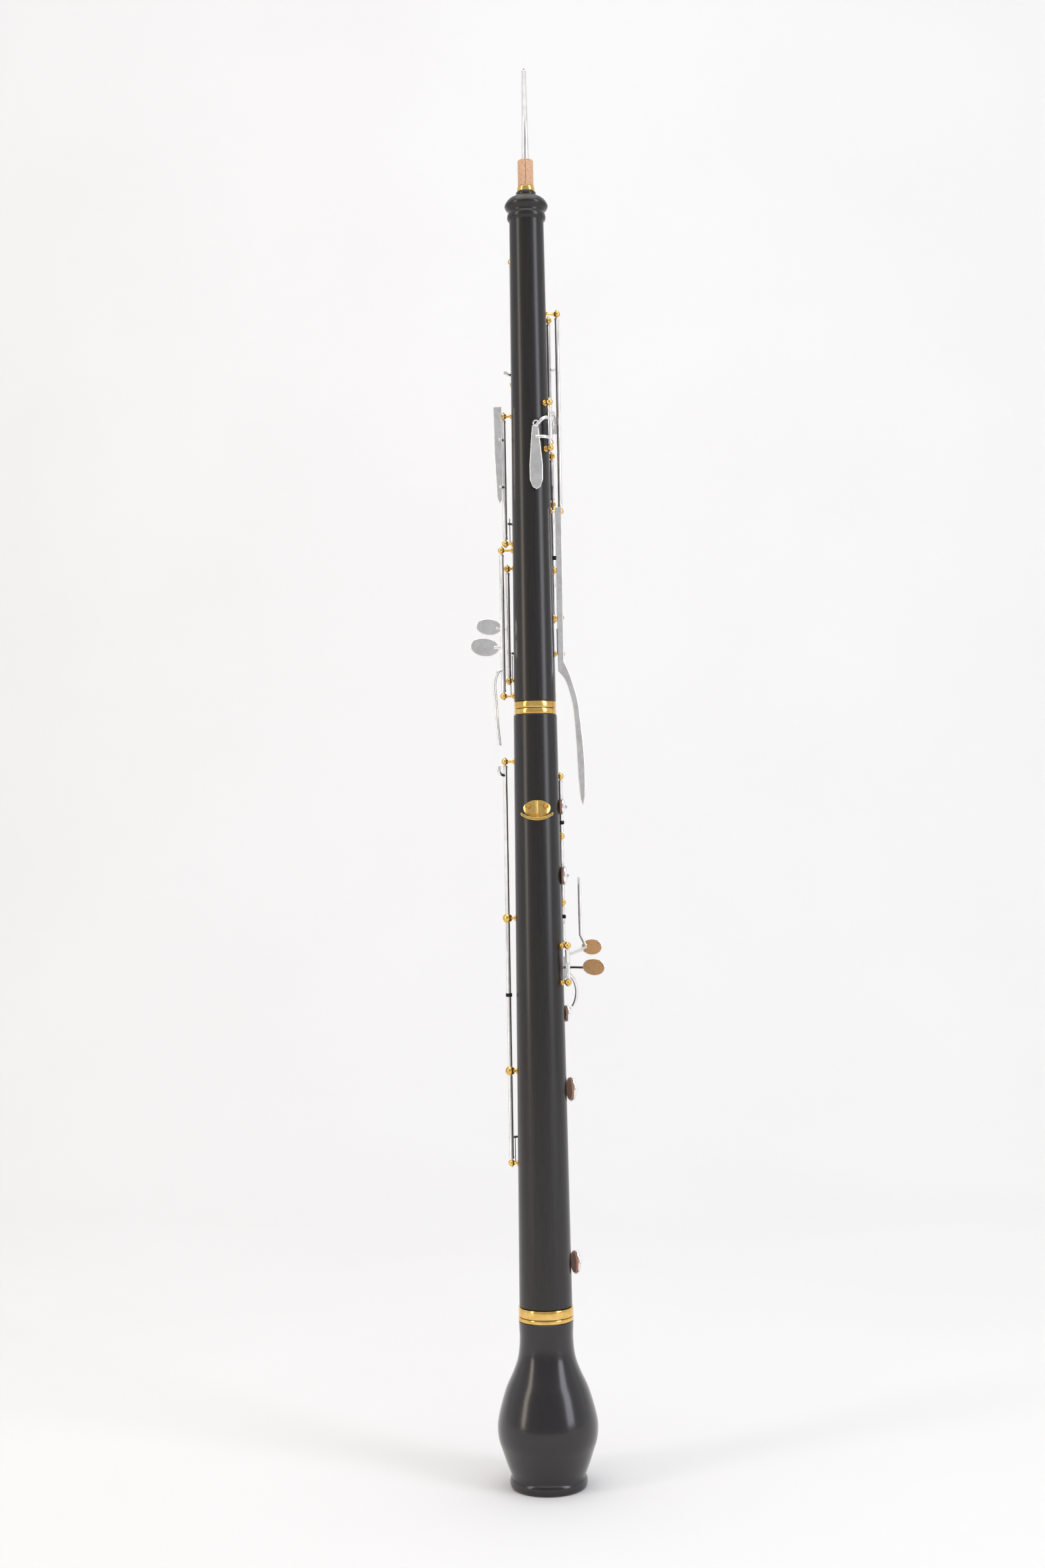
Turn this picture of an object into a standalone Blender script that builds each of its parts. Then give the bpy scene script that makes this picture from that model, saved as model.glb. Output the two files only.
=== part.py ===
"""English horn: crook, two wooden joints, a bulbed bell and its keywork.

The horn stands on its bell. Z runs up the bore, -Y is the thumb side and +Y is the key side.
Azimuths are in degrees from +X towards +Y. Lengths are in millimetres, and MM makes them metres.
"""

import math

import bmesh
import bpy
from mathutils import Matrix, Vector

MM = 0.001

# Fits shared by the pieces
FIT = 0.3
TUBE_R = 1.6
BALL_R = 2.2
GUIDE_R = 3.1
STEM_R = 0.9
POST_SINK = 0.9
SPRING_LEN = 16.0
SPRING_R = 0.25
FOOT_R = 1.9
FOOT_H = 0.8
ARM_R = 1.1
PLATE_T = 1.4

# Wooden joints
HORN_TOP_Z = 807.6
FINIAL_H = 19.6
UPPER_TOP_Z = HORN_TOP_Z - FINIAL_H
UPPER_TOP_R = 10.85
UPPER_END_Z = 484.0
UPPER_END_R = 13.1
MIDDLE_GAP = 8.4
LOWER_TOP_Z = UPPER_END_Z - MIDDLE_GAP
LOWER_TOP_R = 13.55
LOWER_END_Z = 110.0
LOWER_END_R = 16.35
BELL_GAP = 8.8
BELL_TOP_Z = LOWER_END_Z - BELL_GAP
BELL_TOP_R = 16.9
BELL_MAX_R = 31.0
BELL_MAX_Z = 36.0
BELL_RIM_R = 24.0
BELL_RIM_H = 6.0
BELL_WALL = 3.2
BORE_TOP_R = 3.3
BORE_MID_R = 5.2
BORE_END_R = 8.2

# Tenons and their corks
MIDDLE_TENON_R = 8.8
MIDDLE_TENON_LEN = 20.0
BELL_TENON_R = 11.6
BELL_TENON_LEN = 21.0
CORK_T = 1.1

# Metal rings
MIDDLE_RING_R = 13.15
MIDDLE_RING_H = 3.4
BELL_RING_R = 17.0
BELL_RING_SHORT = 2.4
SOCKET_RING_R = 5.45
SOCKET_RING_H = 3.0

# Crook
CROOK_CORK_R = 4.95
CROOK_CORK_NECK_R = 4.2
CROOK_CORK_SHOWS = 20.4
CROOK_CORK_TOP_Z = HORN_TOP_Z + CROOK_CORK_SHOWS
CROOK_CORK_DEPTH = 14.0
CROOK_TUBE_R = 2.3
CROOK_WALL = 0.7
CROOK_TIP_R = 1.4
CROOK_STRAIGHT = 6.0
CROOK_BEND_R = 46.0
CROOK_BEND_DEG = 55.0
CROOK_TIP = 8.0

# Pads and cups
PAD_T = 1.9
CUP_T = 1.1
CUP_WALL = 0.6
PAD_SHOWS = 0.9
OPEN_GAP = 2.2
HOLE_MARGIN = 2.2
CUP_SPREAD = 28.0

# Thumb rest
REST_TOP_Z = 422.0
REST_LOW_Z = 410.0
REST_WIDTH = 16.6
REST_T = 1.4
HOOK_WIDTH = 19.4
HOOK_REACH = 12.0
HOOK_RISE = 2.6
HOOK_T = 1.6
REST_SCREW_R = 1.7
REST_SCREW_SPACING = 11.4

ROUND = 24
RING_SIDES = 20
CUP_SIDES = 12
POST_SIDES = 6
ROD_SIDES = 8

FINISHES = {
    "grenadilla": ((0.018, 0.013, 0.011), 0.28, 0.0),
    "gold": ((0.83, 0.58, 0.22), 0.16, 1.0),
    "silver": ((0.86, 0.86, 0.86), 0.14, 1.0),
    "pad_skin": ((0.56, 0.28, 0.18), 0.6, 0.0),
    "cork": ((0.66, 0.41, 0.23), 0.85, 0.0),
}

for old in list(bpy.data.objects):
    bpy.data.objects.remove(old, do_unlink=True)

PARTS = bpy.data.collections.new("english_horn")
WORK = bpy.data.collections.new("cutters")
for collection in (PARTS, WORK):
    bpy.context.scene.collection.children.link(collection)


def between(z, z_a, value_a, z_b, value_b):
    """The value at z on the straight line through two (z, value) pairs."""
    return value_a + (value_b - value_a) * (z - z_a) / (z_b - z_a)


def body_r(z):
    """Outside radius of the wooden joint that holds height z."""
    if z > UPPER_END_Z:
        return between(z, UPPER_TOP_Z, UPPER_TOP_R, UPPER_END_Z, UPPER_END_R)
    return between(z, LOWER_TOP_Z, LOWER_TOP_R, LOWER_END_Z, LOWER_END_R)


def at(azimuth, radius, z):
    """A point in millimetres from its azimuth, radius and height."""
    angle = math.radians(azimuth)
    return Vector((radius * math.cos(angle), radius * math.sin(angle), z))


def facing(point, direction):
    """A frame at a point in millimetres whose Z runs along a direction."""
    turn = Vector(direction).to_track_quat("Z", "Y").to_matrix().to_4x4()
    return Matrix.Translation(Vector(point) * MM) @ turn


def new_object(name, mesh, collection=WORK):
    """An object around a mesh, in a collection."""
    obj = bpy.data.objects.new(name, mesh)
    collection.objects.link(obj)
    return obj


def frozen(obj):
    """A plain mesh object in place of one with modifiers or of a curve."""
    bpy.context.view_layer.update()
    evaluated = obj.evaluated_get(bpy.context.evaluated_depsgraph_get())
    mesh = bpy.data.meshes.new_from_object(evaluated)
    shape = bmesh.new()
    shape.from_mesh(mesh)
    bmesh.ops.remove_doubles(shape, verts=shape.verts, dist=1e-6)
    bmesh.ops.dissolve_degenerate(shape, edges=shape.edges, dist=1e-7)
    bmesh.ops.recalc_face_normals(shape, faces=shape.faces)
    shape.to_mesh(mesh)
    shape.free()
    result = new_object(obj.name + "_mesh", mesh)
    result.matrix_world = obj.matrix_world.copy()
    bpy.data.objects.remove(obj, do_unlink=True)
    return result


def turned(profile, segments=ROUND, frame=None):
    """A solid of revolution. The profile runs down the outside, then up the bore or along the axis."""
    mesh = bpy.data.meshes.new("profile")
    points = [(r * MM, 0, z * MM) for r, z in profile]
    edges = [(i, i + 1) for i in range(len(points) - 1)]
    if profile[0][0] > 0:
        edges.append((len(points) - 1, 0))
    mesh.from_pydata(points, edges, [])
    obj = new_object("turned", mesh)
    screw = obj.modifiers.new("Turn", "SCREW")
    screw.axis = "Z"
    screw.steps = segments
    screw.render_steps = segments
    screw.use_merge_vertices = True
    screw.merge_threshold = 1e-6
    result = frozen(obj)
    if frame is not None:
        result.data.transform(frame)
    return result


def rod(start, end, radius, sides=ROD_SIDES):
    """A round bar between two points in millimetres."""
    start, end = Vector(start), Vector(end)
    shape = bmesh.new()
    frame = facing((start + end) / 2, end - start)
    length = (end - start).length
    bmesh.ops.create_cone(shape, cap_ends=True, segments=sides, radius1=radius * MM,
                          radius2=radius * MM, depth=length * MM, matrix=frame)
    mesh = bpy.data.meshes.new("rod")
    shape.to_mesh(mesh)
    shape.free()
    return new_object("rod", mesh)


def box(low, high):
    """A block between two corners in millimetres."""
    low, high = Vector(low), Vector(high)
    shape = bmesh.new()
    size = Matrix.Diagonal(Vector((*(high - low), 1 / MM)) * MM)
    frame = Matrix.Translation((low + high) * MM / 2) @ size
    bmesh.ops.create_cube(shape, size=1, matrix=frame)
    mesh = bpy.data.meshes.new("box")
    shape.to_mesh(mesh)
    shape.free()
    return new_object("box", mesh)


def tube(points, radius, resolution=1, end_radius=None):
    """A bent round bar through points in millimetres, which may narrow evenly to its end."""
    narrowing = (end_radius or radius) / radius - 1
    curve = bpy.data.curves.new("tube", "CURVE")
    curve.dimensions = "3D"
    curve.bevel_depth = radius * MM
    curve.bevel_resolution = resolution
    curve.use_fill_caps = True
    spline = curve.splines.new("POLY")
    spline.points.add(len(points) - 1)
    for index, (knot, point) in enumerate(zip(spline.points, points)):
        knot.co = (*(Vector(point) * MM), 1)
        knot.radius = 1 + narrowing * index / (len(points) - 1)
    return frozen(new_object("tube", curve))


def plate(outline, y_low, y_high):
    """A flat plate with an outline of (x, z) points, between two depths in Y."""
    curve = bpy.data.curves.new("plate", "CURVE")
    curve.dimensions = "2D"
    curve.fill_mode = "BOTH"
    curve.extrude = (y_high - y_low) / 2 * MM
    spline = curve.splines.new("POLY")
    spline.points.add(len(outline) - 1)
    for knot, (x, z) in zip(spline.points, outline):
        knot.co = (x * MM, z * MM, 0, 1)
    spline.use_cyclic_u = True
    obj = new_object("plate", curve)
    middle = Vector((0, (y_low + y_high) / 2 * MM, 0))
    obj.matrix_world = Matrix.Translation(middle) @ Matrix.Rotation(math.pi / 2, 4, "X")
    result = frozen(obj)
    result.data.transform(result.matrix_world)
    result.matrix_world = Matrix()
    return result


def oval(x_mid, z_mid, x_half, z_half, lean=0.0, count=14):
    """Outline points of an oval touch, leaned by an angle in degrees."""
    points = []
    turn = math.radians(lean)
    for index in range(count):
        angle = 2 * math.pi * index / count
        x = x_half * math.cos(angle)
        z = z_half * math.sin(angle)
        points.append((x_mid + x * math.cos(turn) - z * math.sin(turn),
                       z_mid + x * math.sin(turn) + z * math.cos(turn)))
    return points


def combined(base, others, operation):
    """The base with the other solids added to it or cut out of it."""
    group = bpy.data.collections.new("operands")
    bpy.context.scene.collection.children.link(group)
    for other in others:
        WORK.objects.unlink(other)
        group.objects.link(other)
    step = base.modifiers.new("Combine", "BOOLEAN")
    step.operation = operation
    step.operand_type = "COLLECTION"
    step.collection = group
    step.solver = "EXACT"
    result = frozen(base)
    for other in list(others):
        bpy.data.objects.remove(other, do_unlink=True)
    bpy.data.collections.remove(group)
    return result


def fused(solids):
    """One closed solid from several that overlap."""
    if len(solids) == 1:
        return solids[0]
    return combined(solids[0], solids[1:], "UNION")


def finished(solid, name, finish):
    """A solid becomes a named part of the horn with its own material."""
    colour, roughness, metallic = FINISHES[finish]
    skin = bpy.data.materials.new(name + "_" + finish)
    skin.use_nodes = True
    shader = skin.node_tree.nodes["Principled BSDF"]
    shader.inputs["Base Color"].default_value = (*colour, 1)
    shader.inputs["Roughness"].default_value = roughness
    shader.inputs["Metallic"].default_value = metallic
    solid.name = name
    solid.data.name = name
    solid.data.materials.clear()
    solid.data.materials.append(skin)
    solid.data.shade_smooth()
    solid.data.set_sharp_from_angle(angle=math.radians(32))
    WORK.objects.unlink(solid)
    PARTS.objects.link(solid)
    return solid


class Line:
    """A hinge line parallel to the bore, at an azimuth and radius."""

    def __init__(self, azimuth, radius):
        self.azimuth = azimuth
        self.radius = radius

    def point(self, z):
        """The line's point at a height."""
        return at(self.azimuth, self.radius, z)


POSTS = {}
HOLES = []
SPRINGS = []


class Key:
    """A key that turns on a hinge tube between two posts."""

    def __init__(self, name, line, post_low, post_high, guides=()):
        self.name = name
        self.line = line
        reach = BALL_R + FIT
        self.solids = [rod(line.point(post_low + reach), line.point(post_high - reach), TUBE_R)]
        self.pads = []
        for z in (post_low, post_high):
            POSTS[(line.azimuth, line.radius, z)] = False
        for z in guides:
            POSTS[(line.azimuth, line.radius, z)] = True
        SPRINGS.append((line, post_low))

    def cup(self, azimuth, z, radius, gap, over=0.0, with_arm=True):
        """Adds a padded cup over a tone hole and, unless it is drawn apart, the arm that carries it."""
        face = body_r(z) + gap
        seat = PAD_T + FIT
        crown = seat + CUP_T
        inner = radius - CUP_WALL
        dish = [(0, crown), (radius - 0.9, crown - 0.2), (radius, crown - 0.8), (radius, PAD_SHOWS),
                (inner, PAD_SHOWS), (inner, seat), (0, seat)]
        frame = facing(at(azimuth, face, z), at(azimuth, 1, 0))
        self.solids.append(turned(dish, CUP_SIDES, frame))
        pad_r = inner - FIT
        pad = [(0, PAD_T), (pad_r, PAD_T), (pad_r, 0), (0, 0)]
        self.pads.append(turned(pad, CUP_SIDES, frame))
        HOLES.append((azimuth, z, max(radius - HOLE_MARGIN, 0.9)))
        top_r = face + crown + 0.3
        if with_arm:
            self.arm(azimuth, z, top_r, over)
        return at(azimuth, top_r, z)

    def arm(self, azimuth, z, end_r, over=0.0, z_end=None):
        """Adds a curved arm from the hinge tube to a point around the joint."""
        z_end = z if z_end is None else z_end
        steps = max(3, round(abs(azimuth - self.line.azimuth) / 15))
        points = []
        for step in range(steps + 1):
            share = step / steps
            angle = between(share, 0, self.line.azimuth, 1, azimuth)
            radius = between(share, 0, self.line.radius, 1, end_r)
            if 0 < step < steps:
                flat = math.cos(math.radians(min(abs(azimuth - angle), CUP_SPREAD)))
                radius = max(radius, over, end_r / flat)
            points.append(at(angle, radius, between(share, 0, z, 1, z_end)))
        if over > end_r:
            points[-1:] = [at(azimuth, over, z_end), at(azimuth, end_r - ARM_R, z_end)]
        self.solids.append(tube(points, ARM_R))

    def bar(self, points, radius=ARM_R):
        """Adds a bent bar through points."""
        self.solids.append(tube([Vector(point) for point in points], radius))

    def touch(self, outline, y_low, thickness=PLATE_T):
        """Adds a flat touch in the XZ plane."""
        self.solids.append(plate(outline, y_low, y_low + thickness))

    def done(self):
        """Makes the key's solids into its named parts."""
        finished(fused(self.solids), self.name, "silver")
        for label, pad in zip(("_pad", "_vent_pad"), self.pads):
            finished(pad, self.name + label, "pad_skin")


def post(line_azimuth, line_r, z, guide):
    """A ball post that is set in the wood and holds a hinge line."""
    base = body_r(z) - POST_SINK
    height = line_r - base
    ball = GUIDE_R if guide else BALL_R
    profile = [(0, height + ball)]
    for degrees in (50, 10, -35):
        angle = math.radians(degrees)
        profile.append((ball * math.cos(angle), height + ball * math.sin(angle)))
    foot = POST_SINK + FOOT_H
    profile += [(STEM_R, height - ball * 0.95), (STEM_R, foot + 0.4), (FOOT_R, foot), (FOOT_R, 0), (0, 0)]
    frame = facing(at(line_azimuth, base, z), at(line_azimuth, 1, 0))
    solid = turned(profile, POST_SIDES, frame)
    if not guide:
        return solid
    centre = at(line_azimuth, line_r, z)
    lift = Vector((0, 0, ball * 2))
    return combined(solid, [rod(centre - lift, centre + lift, TUBE_R + FIT, 12)], "DIFFERENCE")


def spring(line, post_z):
    """A needle spring that is set in a post and runs under its hinge tube."""
    radius = body_r(post_z) + FOOT_H + 1.1
    return rod(at(line.azimuth, radius, post_z), at(line.azimuth, radius, post_z + SPRING_LEN), SPRING_R, 6)


def fitted_wood(profile, z_low, z_high):
    """A turned joint with the tone holes, posts and springs that fall on it."""
    cutters = [rod(at(azimuth, 1.0, z), at(azimuth, body_r(z) + 3, z), radius, ROD_SIDES)
               for azimuth, z, radius in HOLES if z_low < z < z_high]
    wood = combined(turned(profile), cutters, "DIFFERENCE")
    fittings = [post(azimuth, radius, z, guide)
                for (azimuth, radius, z), guide in POSTS.items() if z_low < z < z_high]
    fittings += [spring(line, z) for line, z in SPRINGS if z_low < z < z_high]
    return fused([wood] + fittings)


def upper_keys():
    """Keys on the upper joint."""
    thumb = Key("thumb_octave_key", Line(-40, body_r(642) + 4.2), 642, 671)
    thumb.cup(-8, 664, 3.2, FIT)
    back = -(body_r(615) + 4.8)
    thumb.touch([(1.2, 655), (5.0, 655), (5.6, 650), (6.6, 640), (7.5, 630), (7.4, 621), (5.8, 616.4),
                 (3.4, 615), (1.0, 616.4), (-0.7, 621), (-0.8, 630), (0, 640), (0.8, 650)], back)
    for z in (648.0, 660.0):
        thumb.bar([thumb.line.point(z), (9.0, back + 1.2, z), (3.2, back + 0.7, min(z, 654.5))])
    thumb.done()

    side = Key("side_octave_key", Line(168, body_r(584) + 4.9), 584.4, 665.4)
    side.cup(130, 598, 3.2, FIT)
    side.touch([(-23.0, 671), (-18.0, 671), (-17.8, 640), (-18.6, 612), (-20.0, 609.5), (-21.6, 614),
                (-22.8, 640)], -0.8)
    for z in (620.0, 650.0):
        side.bar([side.line.point(z), (-18.6, 0.4, z), (-20.2, 0.0, z)])
    side.done()

    vent = Key("octave_vent_key", Line(130, body_r(688) + 4.3), 688, 767)
    vent.cup(90, 752, 3.4, FIT)
    vent.arm(160, 694, body_r(694) + 4.6)
    vent.done()

    trill = Key("upper_trill_key", Line(38, body_r(650) + 4.3), 650, 728)
    trill.cup(90, 718, 4.0, FIT)
    x, y, _ = trill.line.point(0)
    trill.touch([(x - 0.6, 655), (x + 5.4, 655), (x + 7.2, 660), (x + 5.4, 668), (x - 0.6, 668)], y)
    trill.done()

    lower = Key("lower_trill_key", Line(18, body_r(605) + 6.9), 605, 731)
    lower.cup(90, 697, 4.0, FIT, over=20.6)
    lower.done()

    lever = Key("side_trill_lever", Line(8.6, body_r(514) + 4.5), 514, 537)
    x, y, _ = lever.line.point(0)
    lever.solids.append(box((x - 1.1, -2.0, 519.5), (x + 1.1, y, 531.5)))
    lever.touch([(x - 2.3, 606), (x + 1.4, 606), (x + 1.4, 509), (x + 5.3, 499.5), (x + 9.4, 485),
                 (x + 11.2, 470), (x + 12.8, 452), (x + 13.3, 438), (x + 13.1, 427), (x + 11.7, 418.3),
                 (x + 10.1, 424), (x + 9.0, 437), (x + 8.4, 452), (x + 7.6, 468), (x + 6.2, 482),
                 (x + 2.6, 496), (x - 2.3, 503)], -2.6)
    lever.done()

    stack = Line(38, body_r(537) + 4.2)
    for name, low, high, z, radius in (("left_index_key", 610, 641, 626, 6.0),
                                       ("left_middle_key", 568, 610, 590, 6.6),
                                       ("left_ring_key", 537, 568, 552, 7.0)):
        key = Key(name, stack, low, high)
        key.cup(90, z, radius, OPEN_GAP)
        key.done()

    sharp = Key("g_sharp_key", Line(158, body_r(498) + 4.3), 498, 569)
    sharp.cup(115, 516, 5.0, FIT)
    sharp.touch(oval(-28.4, 532.2, 7.9, 5.2, -6), 4.9)
    sharp.bar([sharp.line.point(531), (-20.5, 6.0, 531), (-24.0, 5.6, 531.5)])
    sharp.done()

    low = Key("low_b_lever", Line(174, body_r(488) + 6.6), 488, 580)
    low.touch(oval(-31.0, 519.2, 9.0, 5.9, -8), 2.6)
    low.bar([low.line.point(519), (-22.0, 2.6, 519), (-25.0, 3.3, 519)])
    low.bar([low.line.point(505), (-23.0, 0.6, 503), (-24.2, 0.2, 480), (-22.6, 0.4, 457)])
    low.done()


def lower_keys():
    """Keys on the lower joint."""
    long_rod = Key("low_b_rod", Line(168, body_r(197) + 4.3), 197, 447, guides=(254, 349))
    x, y, _ = long_rod.line.point(0)
    long_rod.bar([(x, y, 438), (x - 3.6, y - 3.6, 440), (x - 4.0, y - 4.0, 444)])
    long_rod.arm(130, 212, body_r(212) + 4.6)
    long_rod.done()

    low_b = Key("low_b_key", Line(62, body_r(117) + 4.3), 117, 208)
    low_b.cup(17, 135, 7.5, OPEN_GAP)
    low_b.arm(100, 200, body_r(200) + 4.8)
    low_b.done()

    stack = Line(37, body_r(332) + 4.2)
    for name, low, high, z, radius, vent_z, vent_r in (
            ("right_index_key", 399.6, 437.5, 419, 7.0, 418, 5.0),
            ("right_middle_key", 358, 399.6, 381, 7.0, 375, 6.0),
            ("right_ring_key", 331.7, 358, 345, 6.8, None, None)):
        key = Key(name, stack, low, high)
        key.cup(90, z, radius, OPEN_GAP)
        if vent_z:
            key.cup(2, vent_z, vent_r, FIT)
        key.done()

    flat = Key("e_flat_key", Line(-25, body_r(309) + 4.3), 309, 331.7)
    dish_top = flat.cup(17, 289, 5.5, FIT, with_arm=False)
    x, y, _ = flat.line.point(0)
    flat.bar([(x, y, 315), (21.6, -3.5, 309), (22.4, 1.5, 299), dish_top])
    flat.touch(oval(32.8, 330.2, 6.4, 5.1, -4), 2.2)
    flat.bar([(x, y, 326), (23.4, -2.6, 328), (29.0, 2.6, 330)])
    flat.bar([(29.0, 2.9, 331), (25.8, 3.2, 338), (25.6, 4.0, 374)])
    flat.done()

    low_c = Key("low_c_key", Line(62, body_r(222) + 4.3), 222, 326.5)
    low_c.cup(17, 242, 7.75, OPEN_GAP)
    low_c.touch(oval(34.0, 317.2, 7.0, 5.4, -10), 10.0)
    low_c.bar([low_c.line.point(317), (18.0, 17.3, 317), (27.0, 12.6, 317), (31.0, 10.9, 317)])
    low_c.done()


def joints():
    """The wooden joints, their rings and their corks."""
    tenon_low = UPPER_END_Z - MIDDLE_TENON_LEN
    cork_r = MIDDLE_TENON_R + FIT + CORK_T
    socket_r = cork_r + FIT
    turning = [(6.3, 0), (6.3, 2.6), (10.0, 4.0), (12.9, 6.8), (13.75, 9.0), (13.2, 10.7), (11.6, 12.3),
               (11.45, 13.4), (12.1, 15.0), (12.1, 17.4), (11.8, 18.6), (UPPER_TOP_R, FINIAL_H)]
    top = [(radius, HORN_TOP_Z - drop) for radius, drop in turning]
    seat_z = HORN_TOP_Z - CROOK_CORK_DEPTH - 3 * FIT
    collar_r = CROOK_CORK_NECK_R + FIT
    inside = [(BORE_MID_R, tenon_low), (BORE_TOP_R, seat_z), (collar_r, seat_z), (collar_r, HORN_TOP_Z)]
    upper = top + [(UPPER_END_R, UPPER_END_Z), (MIDDLE_TENON_R, UPPER_END_Z), (MIDDLE_TENON_R, tenon_low)] + inside
    finished(fitted_wood(upper, UPPER_END_Z, UPPER_TOP_Z), "upper_joint", "grenadilla")

    bell_cork_r = BELL_TENON_R + FIT + CORK_T
    bell_socket_r = bell_cork_r + FIT
    tenon_end = LOWER_END_Z - BELL_TENON_LEN
    socket_low = tenon_low - FIT
    lower = [(LOWER_TOP_R, LOWER_TOP_Z), (LOWER_END_R, LOWER_END_Z), (BELL_TENON_R, LOWER_END_Z),
             (BELL_TENON_R, tenon_end), (BORE_END_R, tenon_end), (BORE_MID_R, socket_low), (socket_r, socket_low),
             (socket_r, LOWER_TOP_Z)]
    finished(fitted_wood(lower, LOWER_END_Z, LOWER_TOP_Z), "lower_joint", "grenadilla")

    bell_low = tenon_end - FIT
    outside = [(BELL_TOP_R, BELL_TOP_Z), (BELL_TOP_R - 0.4, 92), (BELL_TOP_R + 0.1, 84), (18.3, 77), (21.3, 69),
               (25.4, 60.4), (28.6, 50), (30.5, 41.5), (BELL_MAX_R, BELL_MAX_Z), (30.2, 29), (28.1, 22.5),
               (25.6, 15), (23.5, 9.4), (BELL_RIM_R - 1.1, BELL_RIM_H + 0.7), (BELL_RIM_R, BELL_RIM_H - 0.6),
               (BELL_RIM_R, 1.2), (BELL_RIM_R - 1.0, 0)]
    chamber = [(BELL_RIM_R - BELL_WALL, 0), (BELL_RIM_R - BELL_WALL, 7), (24.6, 21), (BELL_MAX_R - BELL_WALL, 35),
               (25.4, 49), (20.5, 61), (14.6, 72), (11.2, 80), (BORE_END_R + 0.8, bell_low), (bell_socket_r, bell_low),
               (bell_socket_r, BELL_TOP_Z)]
    finished(turned(outside + chamber), "bell", "grenadilla")

    def band(name, radius, inner, low, height):
        """A polished ring with rounded outer corners."""
        edge = 0.4
        profile = [(radius - edge, low + height), (radius, low + height - edge), (radius, low), (inner, low),
                   (inner, low + height)]
        finished(turned(profile, RING_SIDES), name, "gold")

    middle_low = LOWER_TOP_Z + FIT
    band("middle_socket_ring", MIDDLE_RING_R, MIDDLE_TENON_R + FIT, middle_low, MIDDLE_RING_H)
    upper_band = middle_low + MIDDLE_RING_H + FIT
    band("middle_tenon_ring", MIDDLE_RING_R, MIDDLE_TENON_R + FIT, upper_band, UPPER_END_Z - FIT - upper_band)
    short_low = BELL_TOP_Z + FIT
    band("bell_socket_ring", BELL_RING_R, BELL_TENON_R + FIT, short_low, BELL_RING_SHORT)
    tall_low = short_low + BELL_RING_SHORT + FIT
    band("bell_tenon_ring", BELL_RING_R, BELL_TENON_R + FIT, tall_low, LOWER_END_Z - FIT - tall_low)
    band("crook_socket_ring", SOCKET_RING_R, collar_r, HORN_TOP_Z + FIT, SOCKET_RING_H)

    def sleeve(name, inner, outer, low, high):
        """A cork sleeve."""
        finished(turned([(outer, high), (outer, low), (inner, low), (inner, high)], RING_SIDES), name, "cork")

    sleeve("middle_tenon_cork", MIDDLE_TENON_R + FIT, cork_r, tenon_low + 2, LOWER_TOP_Z - 3)
    sleeve("bell_tenon_cork", BELL_TENON_R + FIT, bell_cork_r, bell_low + 4, BELL_TOP_Z - 3)


def crook():
    """The bent metal crook and its cork."""
    foot_z = HORN_TOP_Z - CROOK_CORK_DEPTH
    step_z = HORN_TOP_Z + SOCKET_RING_H + 2 * FIT
    inner = CROOK_TUBE_R + FIT
    cork = [(CROOK_CORK_R - 0.5, CROOK_CORK_TOP_Z), (CROOK_CORK_R, CROOK_CORK_TOP_Z - 0.6), (CROOK_CORK_R, step_z),
            (CROOK_CORK_NECK_R, step_z), (CROOK_CORK_NECK_R, foot_z), (inner, foot_z), (inner, CROOK_CORK_TOP_Z)]
    finished(turned(cork, RING_SIDES), "crook_cork", "cork")

    start_z = CROOK_CORK_TOP_Z + CROOK_STRAIGHT
    path = [Vector((0, 0, foot_z)), Vector((0, 0, start_z))]
    steps = 9
    for step in range(1, steps + 1):
        angle = math.radians(CROOK_BEND_DEG) * step / steps
        path.append(Vector((0, -CROOK_BEND_R * (1 - math.cos(angle)), start_z + CROOK_BEND_R * math.sin(angle))))
    angle = math.radians(CROOK_BEND_DEG)
    ahead = Vector((0, -math.sin(angle), math.cos(angle)))
    path.append(path[-1] + ahead * CROOK_TIP)
    bore = [path[0] - Vector((0, 0, 1))] + path[1:-1] + [path[-1] + ahead]
    way = tube(bore, CROOK_TUBE_R - CROOK_WALL, end_radius=CROOK_TIP_R - CROOK_WALL)
    solid = combined(tube(path, CROOK_TUBE_R, 3, CROOK_TIP_R), [way], "DIFFERENCE")
    finished(solid, "crook_tube", "silver")


def thumb_rest():
    """The thumb hook on the back of the lower joint, and its two screws."""
    inner = body_r(REST_LOW_Z) + FIT
    outer = inner + REST_T
    shell = turned([(outer, REST_TOP_Z), (outer, REST_LOW_Z), (inner, REST_LOW_Z), (inner, REST_TOP_Z)], ROUND)
    half = REST_WIDTH / 2
    saddle = combined(shell, [box((-half, -outer - 2, REST_LOW_Z - 2), (half, -2, REST_TOP_Z + 2))], "INTERSECT")
    points = []
    count = 10
    for index in range(count + 1):
        x = HOOK_WIDTH * (index / count - 0.5)
        points.append((x, REST_LOW_Z - 0.8 + HOOK_RISE * (2 * x / HOOK_WIDTH) ** 2))
    outline = points + [(x, z + HOOK_T) for x, z in reversed(points)]
    hook = plate(outline, -outer - HOOK_REACH, -inner - 0.35)
    ridge = box((-0.8, -outer - 1.1, REST_LOW_Z), (0.8, -inner - 0.6, REST_TOP_Z - 0.4))
    finished(fused([saddle, hook, ridge]), "thumb_rest", "gold")

    for side, label in ((-1, "left"), (1, "right")):
        azimuth = 270 + side * math.degrees(math.asin(REST_SCREW_SPACING / 2 / outer))
        z = (REST_TOP_Z + REST_LOW_Z) / 2 + 2.2
        head = [(0, 1.0), (REST_SCREW_R - 0.5, 0.9), (REST_SCREW_R, 0.4), (REST_SCREW_R, 0), (0, 0)]
        frame = facing(at(azimuth, outer + FIT, z), at(azimuth, 1, 0))
        finished(turned(head, 12, frame), "thumb_rest_screw_" + label, "gold")


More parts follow.
